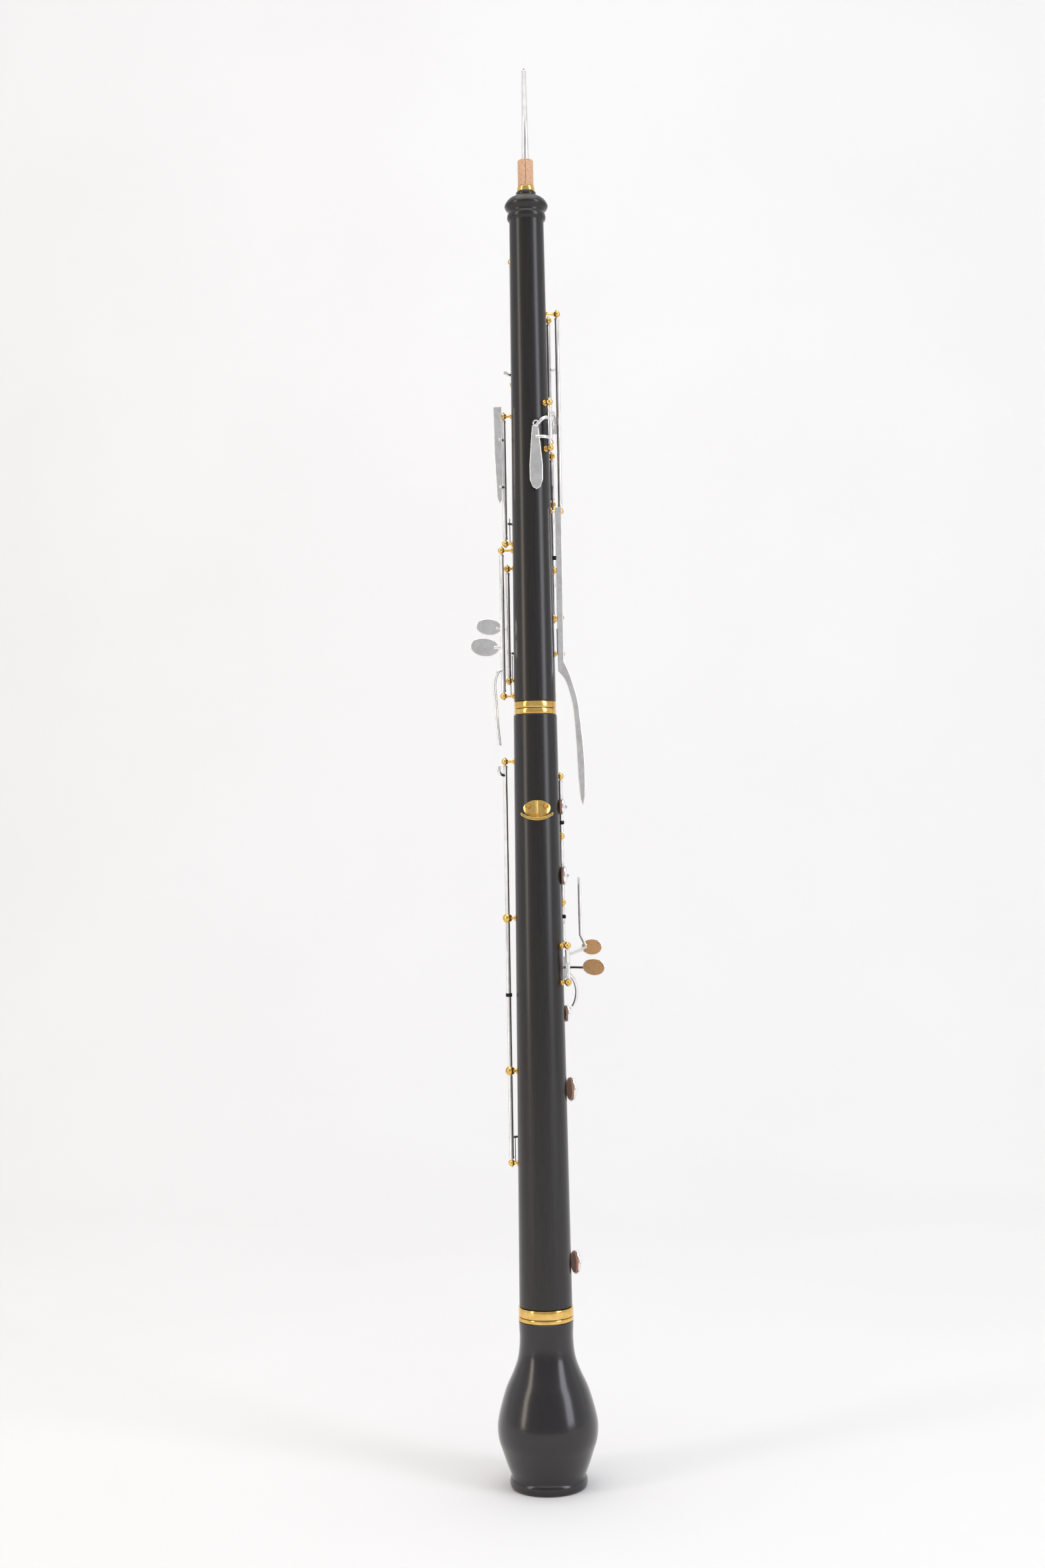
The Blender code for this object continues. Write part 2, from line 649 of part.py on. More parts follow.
upper_keys()
lower_keys()
joints()
crook()
thumb_rest()
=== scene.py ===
"""Looks of the english horn: oiled wood, gold and silver plate, cork and pads, in a plain pale studio."""

from __future__ import annotations

import logging
import math
from dataclasses import dataclass, field
from enum import Enum
from typing import Iterable, Sequence

import bpy
from mathutils import Matrix, Vector

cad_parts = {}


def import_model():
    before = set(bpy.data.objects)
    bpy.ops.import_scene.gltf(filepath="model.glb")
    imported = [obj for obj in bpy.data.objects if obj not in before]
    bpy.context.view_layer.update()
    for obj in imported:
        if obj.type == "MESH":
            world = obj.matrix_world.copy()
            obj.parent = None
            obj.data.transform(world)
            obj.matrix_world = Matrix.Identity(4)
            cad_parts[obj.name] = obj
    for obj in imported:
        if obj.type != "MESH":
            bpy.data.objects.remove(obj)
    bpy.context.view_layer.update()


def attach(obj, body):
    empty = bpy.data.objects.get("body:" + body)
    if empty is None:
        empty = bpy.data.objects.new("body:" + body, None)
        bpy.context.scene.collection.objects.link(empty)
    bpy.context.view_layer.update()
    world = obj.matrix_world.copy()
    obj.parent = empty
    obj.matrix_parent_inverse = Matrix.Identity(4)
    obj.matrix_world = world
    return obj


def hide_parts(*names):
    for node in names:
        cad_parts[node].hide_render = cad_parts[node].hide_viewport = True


MM = 0.001
SHARP_DEG = 38.0
LOG = logging.getLogger("english_horn")
Point = Sequence[float]
Profile = Sequence[tuple[float, float]]
UP = Vector((0, 0, 1))


def linear(hex_colour: str) -> tuple[float, float, float, float]:
    """Turns an sRGB hex colour to linear light.

    Args:
        hex_colour: Six hex digits, with or without a leading #.

    Returns:
        The linear red, green and blue, with an alpha of 1.
    """
    digits = hex_colour.lstrip("#")
    values = []
    for start in (0, 2, 4):
        share = int(digits[start:start + 2], 16) / 255
        values.append(share / 12.92 if share <= 0.04045 else ((share + 0.055) / 1.055) ** 2.4)
    return (*values, 1.0)


def add_node(tree: bpy.types.NodeTree, kind: str, values: dict | None = None, links: dict | None = None,
             **settings: object) -> bpy.types.Node:
    """Adds a node with its settings, input values and links.

    Args:
        tree: The node tree.
        kind: The node's type name.
        values: Input values by socket name or index.
        links: Output sockets to join to inputs, by input name or index.
        **settings: Attributes of the node itself.

    Returns:
        The new node.
    """
    made = tree.nodes.new(kind)
    for name, value in settings.items():
        setattr(made, name, value)
    for socket, value in (values or {}).items():
        made.inputs[socket].default_value = value
    for socket, source in (links or {}).items():
        tree.links.new(source, made.inputs[socket])
    return made


def blank_material(name: str) -> tuple[bpy.types.Material, bpy.types.NodeTree, bpy.types.Node]:
    """Starts a material.

    Args:
        name: The real material's name.

    Returns:
        The material, its node tree and its shader.
    """
    made = bpy.data.materials.new(name)
    made.use_nodes = True
    return made, made.node_tree, made.node_tree.nodes["Principled BSDF"]


class Finish(Enum):
    """Each finish of the horn: the record's material slot, and which surface of that material it is."""

    WOOD = ("grenadilla", "oiled")
    BELL_WOOD = ("grenadilla", "polished")
    GOLD = ("gold_plate", "polished")
    SILVER = ("silver_plate", "polished")
    SPRING_STEEL = ("silver_plate", "blued")
    PAD_SKIN = ("pad_skin", "skin")
    FELT = ("pad_skin", "felt")
    CORK = ("cork", "sanded")
    GLUE_LINE = ("cork", "glue")
    LACQUER = ("cork", "lacquer")

    @property
    def slot(self) -> str:
        """The record's material slot."""
        return self.value[0]


@dataclass(frozen=True)
class Wood:
    """Grenadilla, turned, oiled and polished: near-black, with a gloss that breaks along its open grain.

    Real pores are about 0.1 mm wide and a few millimetres long, too fine for the render. The grain is drawn
    several times as coarse, so that it shows.
    """

    name: str
    dark: str
    light: str
    roughness: float = 0.27
    coat: float = 0.35
    grain_mm: float = 0.7
    grain_length_mm: float = 26.0
    pore_depth_mm: float = 0.04
    gloss_spread: tuple[float, float] = (-0.05, 0.09)
    ior: float = 1.52
    oil_roughness: float = 0.12

    def material(self) -> bpy.types.Material:
        """Builds the wood.

        Returns:
            The material, with stretched grain in its colour, its gloss and a shallow bump.
        """
        made, tree, shader = blank_material(self.name)
        place = add_node(tree, "ShaderNodeTexCoord")
        across, along = 1 / (self.grain_mm * MM), 1 / (self.grain_length_mm * MM)
        stretch = add_node(tree, "ShaderNodeMapping", {"Scale": (across, across, along)},
                           {"Vector": place.outputs["Object"]})
        grain = add_node(tree, "ShaderNodeTexNoise", {"Scale": 1.0, "Detail": 6.0, "Roughness": 0.6},
                         {"Vector": stretch.outputs["Vector"]})
        ramp = add_node(tree, "ShaderNodeValToRGB", links={"Fac": grain.outputs["Fac"]})
        for stop, position, colour in zip(ramp.color_ramp.elements, (0.35, 0.72), (self.dark, self.light)):
            stop.position, stop.color = position, linear(colour)
        tree.links.new(ramp.outputs["Color"], shader.inputs["Base Color"])
        smoother, rougher = self.gloss_spread
        gloss = add_node(tree, "ShaderNodeMapRange",
                         {"To Min": self.roughness + smoother, "To Max": self.roughness + rougher},
                         {"Value": grain.outputs["Fac"]})
        tree.links.new(gloss.outputs["Result"], shader.inputs["Roughness"])
        bump = add_node(tree, "ShaderNodeBump", {"Strength": 0.25, "Distance": self.pore_depth_mm * MM},
                        {"Height": grain.outputs["Fac"]})
        tree.links.new(bump.outputs["Normal"], shader.inputs["Normal"])
        shader.inputs["IOR"].default_value = self.ior
        shader.inputs["Coat Weight"].default_value = self.coat
        shader.inputs["Coat Roughness"].default_value = self.oil_roughness
        return made


@dataclass(frozen=True)
class BrightMetal:
    """Metal buffed to a mirror, plated or blued, with the smears that a polishing cloth leaves."""

    name: str
    colour: str
    worn: str
    roughness: float
    dulling: float = 0.1
    # About the width of one stroke of the cloth.
    smear_mm: float = 5.0

    def material(self) -> bpy.types.Material:
        """Builds the metal.

        Returns:
            The material, whose smears vary its tone and gloss a little.
        """
        made, tree, shader = blank_material(self.name)
        place = add_node(tree, "ShaderNodeTexCoord")
        smear = add_node(tree, "ShaderNodeTexNoise", {"Scale": 1 / (self.smear_mm * MM), "Detail": 4.0},
                         {"Vector": place.outputs["Object"]})
        tone = add_node(tree, "ShaderNodeValToRGB", links={"Fac": smear.outputs["Fac"]})
        for stop, position, colour in zip(tone.color_ramp.elements, (0.3, 0.6), (self.worn, self.colour)):
            stop.position, stop.color = position, linear(colour)
        tree.links.new(tone.outputs["Color"], shader.inputs["Base Color"])
        gloss = add_node(tree, "ShaderNodeMapRange",
                         {"To Min": self.roughness, "To Max": self.roughness + self.dulling},
                         {"Value": smear.outputs["Fac"]})
        tree.links.new(gloss.outputs["Result"], shader.inputs["Roughness"])
        shader.inputs["Metallic"].default_value = 1.0
        return made


@dataclass(frozen=True)
class SoftFacing:
    """A soft surface, such as sanded cork, pad skin or felt, mottled in cells of a given size."""

    name: str
    colour: str
    fleck: str
    cell_mm: float
    roughness: float
    bump_mm: float
    # A cloud of tone spans two and a half cells.
    clouds_per_cell: float = 0.4

    def material(self) -> bpy.types.Material:
        """Builds the facing.

        Returns:
            The material, with its cells in the colour and the bump.
        """
        made, tree, shader = blank_material(self.name)
        place = add_node(tree, "ShaderNodeTexCoord")
        cells = add_node(tree, "ShaderNodeTexVoronoi", {"Scale": 1 / (self.cell_mm * MM)},
                         {"Vector": place.outputs["Object"]})
        cloud = add_node(tree, "ShaderNodeTexNoise",
                         {"Scale": self.clouds_per_cell / (self.cell_mm * MM), "Detail": 5.0},
                         {"Vector": place.outputs["Object"]})
        joined = add_node(tree, "ShaderNodeMath", operation="MULTIPLY",
                          links={0: cells.outputs["Distance"], 1: cloud.outputs["Fac"]})
        ramp = add_node(tree, "ShaderNodeValToRGB", links={"Fac": joined.outputs["Value"]})
        for stop, position, colour in zip(ramp.color_ramp.elements, (0.04, 0.16), (self.fleck, self.colour)):
            stop.position, stop.color = position, linear(colour)
        tree.links.new(ramp.outputs["Color"], shader.inputs["Base Color"])
        bump = add_node(tree, "ShaderNodeBump", {"Strength": 0.5, "Distance": self.bump_mm * MM},
                        {"Height": joined.outputs["Value"]})
        tree.links.new(bump.outputs["Normal"], shader.inputs["Normal"])
        shader.inputs["Roughness"].default_value = self.roughness
        return made


def at(azimuth: float, radius: float, z: float) -> Vector:
    """A point in millimetres from its azimuth in degrees, radius and height."""
    angle = math.radians(azimuth)
    return Vector((radius * math.cos(angle), radius * math.sin(angle), z))


def facing(point: Point, direction: Point) -> Matrix:
    """A frame at a point in millimetres whose Z runs along a direction."""
    turn = Vector(direction).to_track_quat("Z", "Y").to_matrix().to_4x4()
    return Matrix.Translation(Vector(point) * MM) @ turn


def lathe(profile: Profile, sides: int = 96, frame: Matrix | None = None) -> bpy.types.Mesh:
    """Turns a profile about Z.

    Args:
        profile: Radius and height pairs in millimetres, down the outside. One that starts and ends on the
            axis is closed there, and any other joins its last point to its first.
        sides: How many sides the round has.
        frame: Where the turned shape stands.

    Returns:
        A closed mesh.
    """
    verts: list[Vector] = []
    rings: list[list[int]] = []
    for radius, z in profile:
        if radius == 0:
            rings.append([len(verts)] * sides)
            verts.append(Vector((0, 0, z * MM)))
            continue
        rings.append(list(range(len(verts), len(verts) + sides)))
        for side in range(sides):
            verts.append(at(360 * side / sides, radius, z) * MM)
    pairs = list(zip(rings, rings[1:]))
    if profile[0][0] != 0:
        pairs.append((rings[-1], rings[0]))
    faces = []
    for upper, lower in pairs:
        for side in range(sides):
            after = (side + 1) % sides
            face = list(dict.fromkeys([upper[side], lower[side], lower[after], upper[after]]))
            if len(face) > 2:
                faces.append(face)
    mesh = bpy.data.meshes.new("lathe")
    mesh.from_pydata([tuple(v) for v in verts], [], faces)
    if frame is not None:
        mesh.transform(frame)
    return mesh


def from_curve(curve: bpy.types.Curve, frame: Matrix | None = None) -> bpy.types.Mesh:
    """Turns a curve to a mesh.

    Args:
        curve: The curve.
        frame: Where its mesh stands.

    Returns:
        The mesh, without materials.
    """
    holder = bpy.data.objects.new("curve_work", curve)
    bpy.context.scene.collection.objects.link(holder)
    bpy.context.view_layer.update()
    mesh = bpy.data.meshes.new_from_object(holder.evaluated_get(bpy.context.evaluated_depsgraph_get()))
    bpy.data.objects.remove(holder, do_unlink=True)
    mesh.materials.clear()
    if frame is not None:
        mesh.transform(frame)
    return mesh


def bar(points: Iterable[Point], radius: float, smooth: bool = True) -> bpy.types.Mesh:
    """Makes a round bar.

    Args:
        points: The points in millimetres that it runs through.
        radius: The bar's radius.
        smooth: Whether it curves through three points or more, or is bent sharply at each.

    Returns:
        The bar's mesh, closed at both ends.
    """
    route = [Vector(point) for point in points]
    curve = bpy.data.curves.new("bar", "CURVE")
    curve.dimensions = "3D"
    curve.bevel_depth = radius * MM
    curve.bevel_resolution = 4
    curve.resolution_u = 6
    curve.use_fill_caps = True
    if smooth and len(route) > 2:
        spline = curve.splines.new("BEZIER")
        spline.bezier_points.add(len(route) - 1)
        for knot, point in zip(spline.bezier_points, route):
            knot.co = point * MM
            knot.handle_left_type = knot.handle_right_type = "AUTO"
    else:
        spline = curve.splines.new("POLY")
        spline.points.add(len(route) - 1)
        for knot, point in zip(spline.points, route):
            knot.co = (*(point * MM), 1)
    return from_curve(curve)


def slab(outline: Profile, y_low: float, y_high: float, edge: float = 0.4,
         curved: bool = True) -> bpy.types.Mesh:
    """Makes a flat plate with eased edges, across the line of sight.

    Args:
        outline: Its (x, z) points in millimetres.
        y_low: The Y of its face on the camera's side.
        y_high: The Y of its other face.
        edge: The width of the eased edge.
        curved: Whether the outline curves between its points.

    Returns:
        The plate's mesh.
    """
    curve = bpy.data.curves.new("slab", "CURVE")
    curve.dimensions = "2D"
    curve.fill_mode = "BOTH"
    curve.bevel_depth = edge * MM
    curve.bevel_resolution = 2
    curve.offset = -edge * MM
    curve.extrude = ((y_high - y_low) / 2 - edge) * MM
    curve.resolution_u = 4
    if curved:
        spline = curve.splines.new("BEZIER")
        spline.bezier_points.add(len(outline) - 1)
        for knot, (x, z) in zip(spline.bezier_points, outline):
            knot.co = (x * MM, z * MM, 0)
            knot.handle_left_type = knot.handle_right_type = "AUTO"
    else:
        spline = curve.splines.new("POLY")
        spline.points.add(len(outline) - 1)
        for knot, (x, z) in zip(spline.points, outline):
            knot.co = (x * MM, z * MM, 0, 1)
    spline.use_cyclic_u = True
    middle = Matrix.Translation(Vector((0, (y_low + y_high) / 2 * MM, 0)))
    return from_curve(curve, middle @ Matrix.Rotation(math.pi / 2, 4, "X"))


def eased(knots: Profile, steps: int = 4) -> list[tuple[float, float]]:
    """Finds points on a smooth curve through knots.

    Args:
        knots: The points that the curve runs through.
        steps: How many steps it takes from one knot to the next.

    Returns:
        The curve's points, with both ends.
    """
    points = []
    for index in range(len(knots) - 1):
        before = Vector(knots[max(index - 1, 0)])
        start, end = Vector(knots[index]), Vector(knots[index + 1])
        after = Vector(knots[min(index + 2, len(knots) - 1)])
        for step in range(steps):
            t = step / steps
            point = 0.5 * (2 * start + (end - before) * t + (2 * before - 5 * start + 4 * end - after) * t ** 2
                           + (3 * start - before - 3 * end + after) * t ** 3)
            points.append(tuple(point))
    return points + [tuple(knots[-1])]


def oval(x_mid: float, z_mid: float, x_half: float, z_half: float, lean: float, count: int = 14) -> Profile:
    """Finds the outline of an oval touch.

    Args:
        x_mid: The X of its middle.
        z_mid: The Z of its middle.
        x_half: Half its width.
        z_half: Half its height.
        lean: How far it leans, in degrees.
        count: How many points the outline has.

    Returns:
        The outline's (x, z) points.
    """
    turn = math.radians(lean)
    points = []
    for index in range(count):
        angle = 2 * math.pi * index / count
        x, z = x_half * math.cos(angle), z_half * math.sin(angle)
        points.append((x_mid + x * math.cos(turn) - z * math.sin(turn),
                       z_mid + x * math.sin(turn) + z * math.cos(turn)))
    return points


@dataclass
class Workshop:
    """Holds the finishes and turns meshes into dressed pieces that ride on a body."""

    materials: dict[Finish, bpy.types.Material]

    def piece(self, name: str, meshes: Sequence[bpy.types.Mesh], finish: Finish, body: str,
              node: str | None = None) -> None:
        """Joins meshes into one dressed piece.

        Args:
            name: The piece's name.
            meshes: Its meshes, in metres.
            finish: Its finish.
            body: The body that it rides on.
            node: The CAD node that it stands for, if any.
        """
        verts: list[tuple[float, float, float]] = []
        faces: list[list[int]] = []
        for mesh in meshes:
            base = len(verts)
            verts += [tuple(v.co) for v in mesh.vertices]
            faces += [[base + index for index in polygon.vertices] for polygon in mesh.polygons]
            bpy.data.meshes.remove(mesh)
        joined = bpy.data.meshes.new(name)
        joined.from_pydata(verts, [], faces)
        joined.validate()
        made = bpy.data.objects.new(name, joined)
        bpy.context.scene.collection.objects.link(made)
        joined.materials.append(self.materials[finish])
        joined.shade_smooth()
        joined.set_sharp_from_angle(angle=math.radians(SHARP_DEG))
        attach(made, body)
        if node:
            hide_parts(node)
        LOG.info("piece %s: %d faces", name, len(faces))


@dataclass
class Bore:
    """Outside of the two wooden joints, as height and radius, which every post and cup stands on."""

    upper_top: tuple[float, float] = (788.0, 10.85)
    upper_end: tuple[float, float] = (484.0, 13.1)
    lower_top: tuple[float, float] = (475.6, 13.55)
    lower_end: tuple[float, float] = (110.0, 16.35)

    def outside(self, z: float) -> float:
        """Outside radius of the joint at a height."""
        on_upper = z > self.upper_end[0]
        first, last = (self.upper_top, self.upper_end) if on_upper else (self.lower_top, self.lower_end)
        return first[1] + (last[1] - first[1]) * (z - first[0]) / (last[0] - first[0])


@dataclass
class WoodenBody:
    """The two joints and the bell, with the rings and corks between them."""

    shop: Workshop
    bore: Bore
    fit: float = 0.3
    top_z: float = 807.6
    chamfer: float = 0.3
    middle_tenon_r: float = 8.8
    middle_tenon_len: float = 20.0
    bell_tenon_r: float = 11.6
    bell_tenon_len: float = 21.0
    bell_top: tuple[float, float] = (16.9, 101.2)
    cork_t: float = 1.1
    ring_edge: float = 0.35

    def build(self) -> None:
        """Makes the wood, the rings and the corks."""
        for group in (self.joints, self.bell, self.rings, self.corks):
            group()

    def joints(self) -> None:
        """Turns both joints, with the dome, cove and bead above the upper one."""
        (top, top_r), (end, end_r) = self.bore.upper_top, self.bore.upper_end
        tenon_low = end - self.middle_tenon_len
        dome = [(6.0, self.top_z), (6.3, 807.2), (6.3, 805.2), (7.4, 804.6), (9.0, 804.0), (10.6, 803.1),
                (12.0, 801.9), (13.0, 800.4), (13.5, 799.4), (13.75, 798.6), (13.6, 797.8), (13.1, 796.8),
                (12.2, 795.7), (11.6, 795.1), (11.45, 794.4), (11.6, 793.6), (12.0, 792.9), (12.2, 791.8),
                (12.2, 790.8), (12.0, 790.0), (11.6, 789.4), (11.1, 788.9)]
        upper = dome + [(top_r, top), (end_r, end + self.chamfer), (end_r - self.chamfer, end),
                        (self.middle_tenon_r, end), (self.middle_tenon_r, tenon_low), (5.2, tenon_low),
                        (3.3, 792.7), (4.5, 792.7), (4.5, self.top_z)]
        self.shop.piece("wood_upper_joint", [lathe(upper)], Finish.WOOD, "horn", "upper_joint")
        (top, top_r), (end, end_r) = self.bore.lower_top, self.bore.lower_end
        socket_low = tenon_low - self.fit
        socket_r = self.middle_tenon_r + self.cork_t + 2 * self.fit
        bell_tenon_low = end - self.bell_tenon_len
        lower = [(top_r - 0.25, top), (top_r, top - self.chamfer), (end_r, end + self.chamfer),
                 (end_r - 0.25, end), (self.bell_tenon_r, end), (self.bell_tenon_r, bell_tenon_low),
                 (8.2, bell_tenon_low), (5.2, socket_low), (socket_r, socket_low), (socket_r, top)]
        self.shop.piece("wood_lower_joint", [lathe(lower)], Finish.WOOD, "horn", "lower_joint")

    def bell(self) -> None:
        """Turns the bell, with its bulb, its rim bead and its hollow."""
        top_r, top_z = self.bell_top
        knots = [(top_r - 0.4, 92), (top_r, 84.5), (18.2, 77), (21.2, 69), (25.2, 60.4), (28.5, 50), (30.4, 42),
                 (31.0, 36), (30.3, 29), (28.2, 22.5), (25.7, 15), (23.6, 9.6)]
        outside = [(top_r - 0.3, top_z), (top_r, top_z - 0.4)] + eased(knots)
        bead_r, bead_z = 22.7, 3.4
        rim = [(22.9, 7.2), (22.9, 6.7)]
        for degrees in range(80, -81, -20):
            angle = math.radians(degrees)
            rim.append((bead_r + 1.3 * math.cos(angle), bead_z + 3.2 * math.sin(angle)))
        rim += [(22.4, 0.0)]
        socket_low = self.bore.lower_end[0] - self.bell_tenon_len - self.fit
        socket_r = self.bell_tenon_r + self.cork_t + 2 * self.fit
        chamber = [(20.8, 0), (20.8, 7), (24.6, 21), (27.8, 35), (25.4, 49), (20.5, 61), (14.6, 72), (11.2, 80),
                   (9.0, socket_low), (socket_r, socket_low), (socket_r, top_z)]
        self.shop.piece("wood_bell", [lathe(outside + rim + chamber)], Finish.BELL_WOOD, "horn", "bell")

    def rings(self) -> None:
        """Turns the plated rings with rounded corners."""
        middle_in = self.middle_tenon_r + self.fit
        bell_in = self.bell_tenon_r + self.fit
        edge = self.ring_edge
        for name, radius, inner, low, high in (
                ("middle_socket_ring", 13.15, middle_in, 475.9, 479.3),
                ("middle_tenon_ring", 13.15, middle_in, 479.6, 483.7),
                ("bell_socket_ring", 17.0, bell_in, 101.5, 103.9),
                ("bell_tenon_ring", 17.0, bell_in, 104.2, 109.7),
                ("crook_socket_ring", 5.45, 4.5, 807.9, 810.9)):
            profile = [(radius - edge, high), (radius - 0.1, high - 0.1), (radius, high - edge),
                       (radius, low + edge), (radius - 0.1, low + 0.1), (radius - edge, low), (inner, low),
                       (inner, high)]
            self.shop.piece("gold_" + name, [lathe(profile)], Finish.GOLD, "horn", name)

    def corks(self) -> None:
        """Turns the corks round both tenons."""
        for name, tenon_r, low, high in (("middle_tenon_cork", self.middle_tenon_r, 466.0, 472.6),
                                         ("bell_tenon_cork", self.bell_tenon_r, 92.7, 98.2)):
            inner = tenon_r + self.fit
            outer = inner + self.cork_t
            profile = [(outer, high), (outer, low), (inner, low), (inner, high)]
            self.shop.piece("fitted_" + name, [lathe(profile)], Finish.CORK, "horn", name)


@dataclass
class Crook:
    """The bent silver crook in its cork."""

    shop: Workshop
    tube_r: float = 2.3
    tip_r: float = 1.4
    wall: float = 0.7
    foot_z: float = 793.6
    cork_r: float = 4.95
    cork_foot_r: float = 4.2
    cork_bore_r: float = 2.6
    cork_low: float = 811.2
    cork_top: float = 828.0
    straight: float = 6.0
    bend_r: float = 46.0
    bend_deg: float = 55.0
    bend_steps: int = 24
    cad_steps: int = 11
    tip: float = 8.0

    def build(self) -> None:
        """Makes the hollow tube, the cork and the cork's glued seam."""
        start_z = self.cork_top + self.straight
        route = [Vector((0, 0, self.foot_z)), Vector((0, 0, start_z))]
        for step in range(1, self.bend_steps + 1):
            angle = math.radians(self.bend_deg) * step / self.bend_steps
            forward = self.bend_r * (1 - math.cos(angle))
            route.append(Vector((0, -forward, start_z + self.bend_r * math.sin(angle))))
        angle = math.radians(self.bend_deg)
        ahead = Vector((0, -math.sin(angle), math.cos(angle)))
        route.append(route[-1] + ahead * self.tip)
        self.shop.piece("silver_crook_tube", [self.shell(route)], Finish.SILVER, "horn", "crook_tube")
        top, low, outer = self.cork_top, self.cork_low, self.cork_r
        cork = [(outer - 0.45, top), (outer - 0.15, top - 0.2), (outer, top - 0.6), (outer, low + 0.3),
                (outer - 0.25, low), (self.cork_foot_r, low), (self.cork_foot_r, self.foot_z),
                (self.cork_bore_r, self.foot_z), (self.cork_bore_r, top)]
        self.shop.piece("sanded_crook_cork", [lathe(cork)], Finish.CORK, "horn", "crook_cork")
        seam = bar([(-0.3, 0.02 - outer, low + 0.4), (0.1, 0.01 - outer, 819), (-0.1, 0.02 - outer, top - 0.6)],
                   0.13)
        self.shop.piece("cork_glue_seam", [seam], Finish.GLUE_LINE, "horn")

    def shell(self, route: list[Vector], sides: int = 32) -> bpy.types.Mesh:
        """Makes a hollow tube that narrows to its tip as the CAD tube does, point by point of its route.

        Args:
            route: Its points in millimetres, which bend in the plane of X 0.
            sides: How many sides the round has.

        Returns:
            The tube's mesh, closed at both ends.
        """
        verts: list[tuple[float, float, float]] = []
        rows = []
        side_way = Vector((1, 0, 0))
        last = len(route) - 1
        for inset, order in ((0.0, range(last + 1)), (self.wall, range(last, -1, -1))):
            for index in order:
                along = route[min(index + 1, last)] - route[max(index - 1, 0)]
                up = side_way.cross(along).normalized()
                share = index / last
                if 0 < index < last:
                    share = (1 + (self.cad_steps - 2) * (index - 1) / (last - 2)) / self.cad_steps
                radius = self.tube_r + (self.tip_r - self.tube_r) * share - inset
                row = []
                for side in range(sides):
                    turn = 2 * math.pi * side / sides
                    outward = side_way * math.cos(turn) + up * math.sin(turn)
                    row.append(len(verts))
                    verts.append(tuple((route[index] + radius * outward) * MM))
                rows.append(row)
        faces = []
        for lower, upper in zip(rows, rows[1:] + rows[:1]):
            for side in range(sides):
                after = (side + 1) % sides
                faces.append([lower[side], lower[after], upper[after], upper[side]])
        mesh = bpy.data.meshes.new("shell")
        mesh.from_pydata(verts, [], faces)
        return mesh


@dataclass
class ThumbRest:
    """The gold thumb hook and its screws."""

    shop: Workshop
    low_z: float = 410.0
    top_z: float = 422.0
    inner: float = 14.35
    thick: float = 1.4
    hook_reach: float = 12.0
    hook_half: float = 9.7
    hook_drop: float = 0.9
    hook_rise: float = 3.2
    hook_thick: float = 1.6
    hook_steps: int = 8
    screw_x: float = 5.7
    screw_z: float = 418.2
    # Half of the shield's outline: X, and the plate's top and low edge there.
    edge: tuple[tuple[float, float, float], ...] = (
        (0.0, 421.9, 410.0), (2.0, 421.8, 410.0), (3.9, 421.4, 410.0), (4.4, 421.1, 411.3), (5.3, 420.8, 412.4),
        (6.2, 420.2, 413.2), (7.1, 419.5, 414.2), (7.8, 418.8, 415.1), (8.2, 418.0, 416.2), (8.3, 417.4, 416.9))

    def build(self) -> None:
        """Makes the curved plate with its ridge and hook, then the screws."""
        outer = self.inner + self.thick
        points = []
        for index in range(-self.hook_steps, self.hook_steps + 1):
            share = index / self.hook_steps
            points.append((self.hook_half * share, self.low_z - self.hook_drop + self.hook_rise * share ** 2))
        outline = points + [(x, z + self.hook_thick) for x, z in reversed(points)]
        hook = slab(outline, -outer - self.hook_reach, -self.inner - 0.35, 0.3)
        ridge = bar([(0, -outer - 0.2, self.low_z), (0, -outer - 0.2, self.top_z - 0.6)], 0.9)
        self.shop.piece("gold_thumb_rest", [self.plate(outer), hook, ridge], Finish.GOLD, "horn", "thumb_rest")
        head = [(0, 0.45), (0.45, 0.45), (0.5, 0.95), (1.1, 0.95), (1.2, 0.7), (1.55, 0.7), (1.7, 0.4),
                (1.7, 0), (0, 0)]
        for sign, label in ((-1, "left"), (1, "right")):
            azimuth = 270 + sign * math.degrees(math.asin(self.screw_x / outer))
            frame = facing(at(azimuth, outer + 0.3, self.screw_z), at(azimuth, 1, 0))
            self.shop.piece("gold_thumb_screw_" + label, [lathe(head, 32, frame)], Finish.GOLD, "horn",
                       "thumb_rest_screw_" + label)

    def plate(self, outer: float) -> bpy.types.Mesh:
        """Makes the shield-shaped plate, curved round the joint.

        Args:
            outer: The radius of its outside.

        Returns:
            The plate's mesh.
        """
        verts, faces = [], []
        columns = [(-x, top, low) for x, top, low in reversed(self.edge[1:])] + list(self.edge)
        for x, top, low in columns:
            for radius, z in ((outer, top), (outer, low), (self.inner, low), (self.inner, top)):
                verts.append((x * MM, -math.sqrt(radius ** 2 - x ** 2) * MM, z * MM))
        for step in range(len(columns) - 1):
            base = step * 4
            for corner in range(4):
                after = (corner + 1) % 4
                faces.append([base + corner, base + after, base + 4 + after, base + 4 + corner])
        last = (len(columns) - 1) * 4
        faces += [[3, 2, 1, 0], [last, last + 1, last + 2, last + 3]]
        mesh = bpy.data.meshes.new("saddle")
        mesh.from_pydata(verts, [], faces)
        return mesh


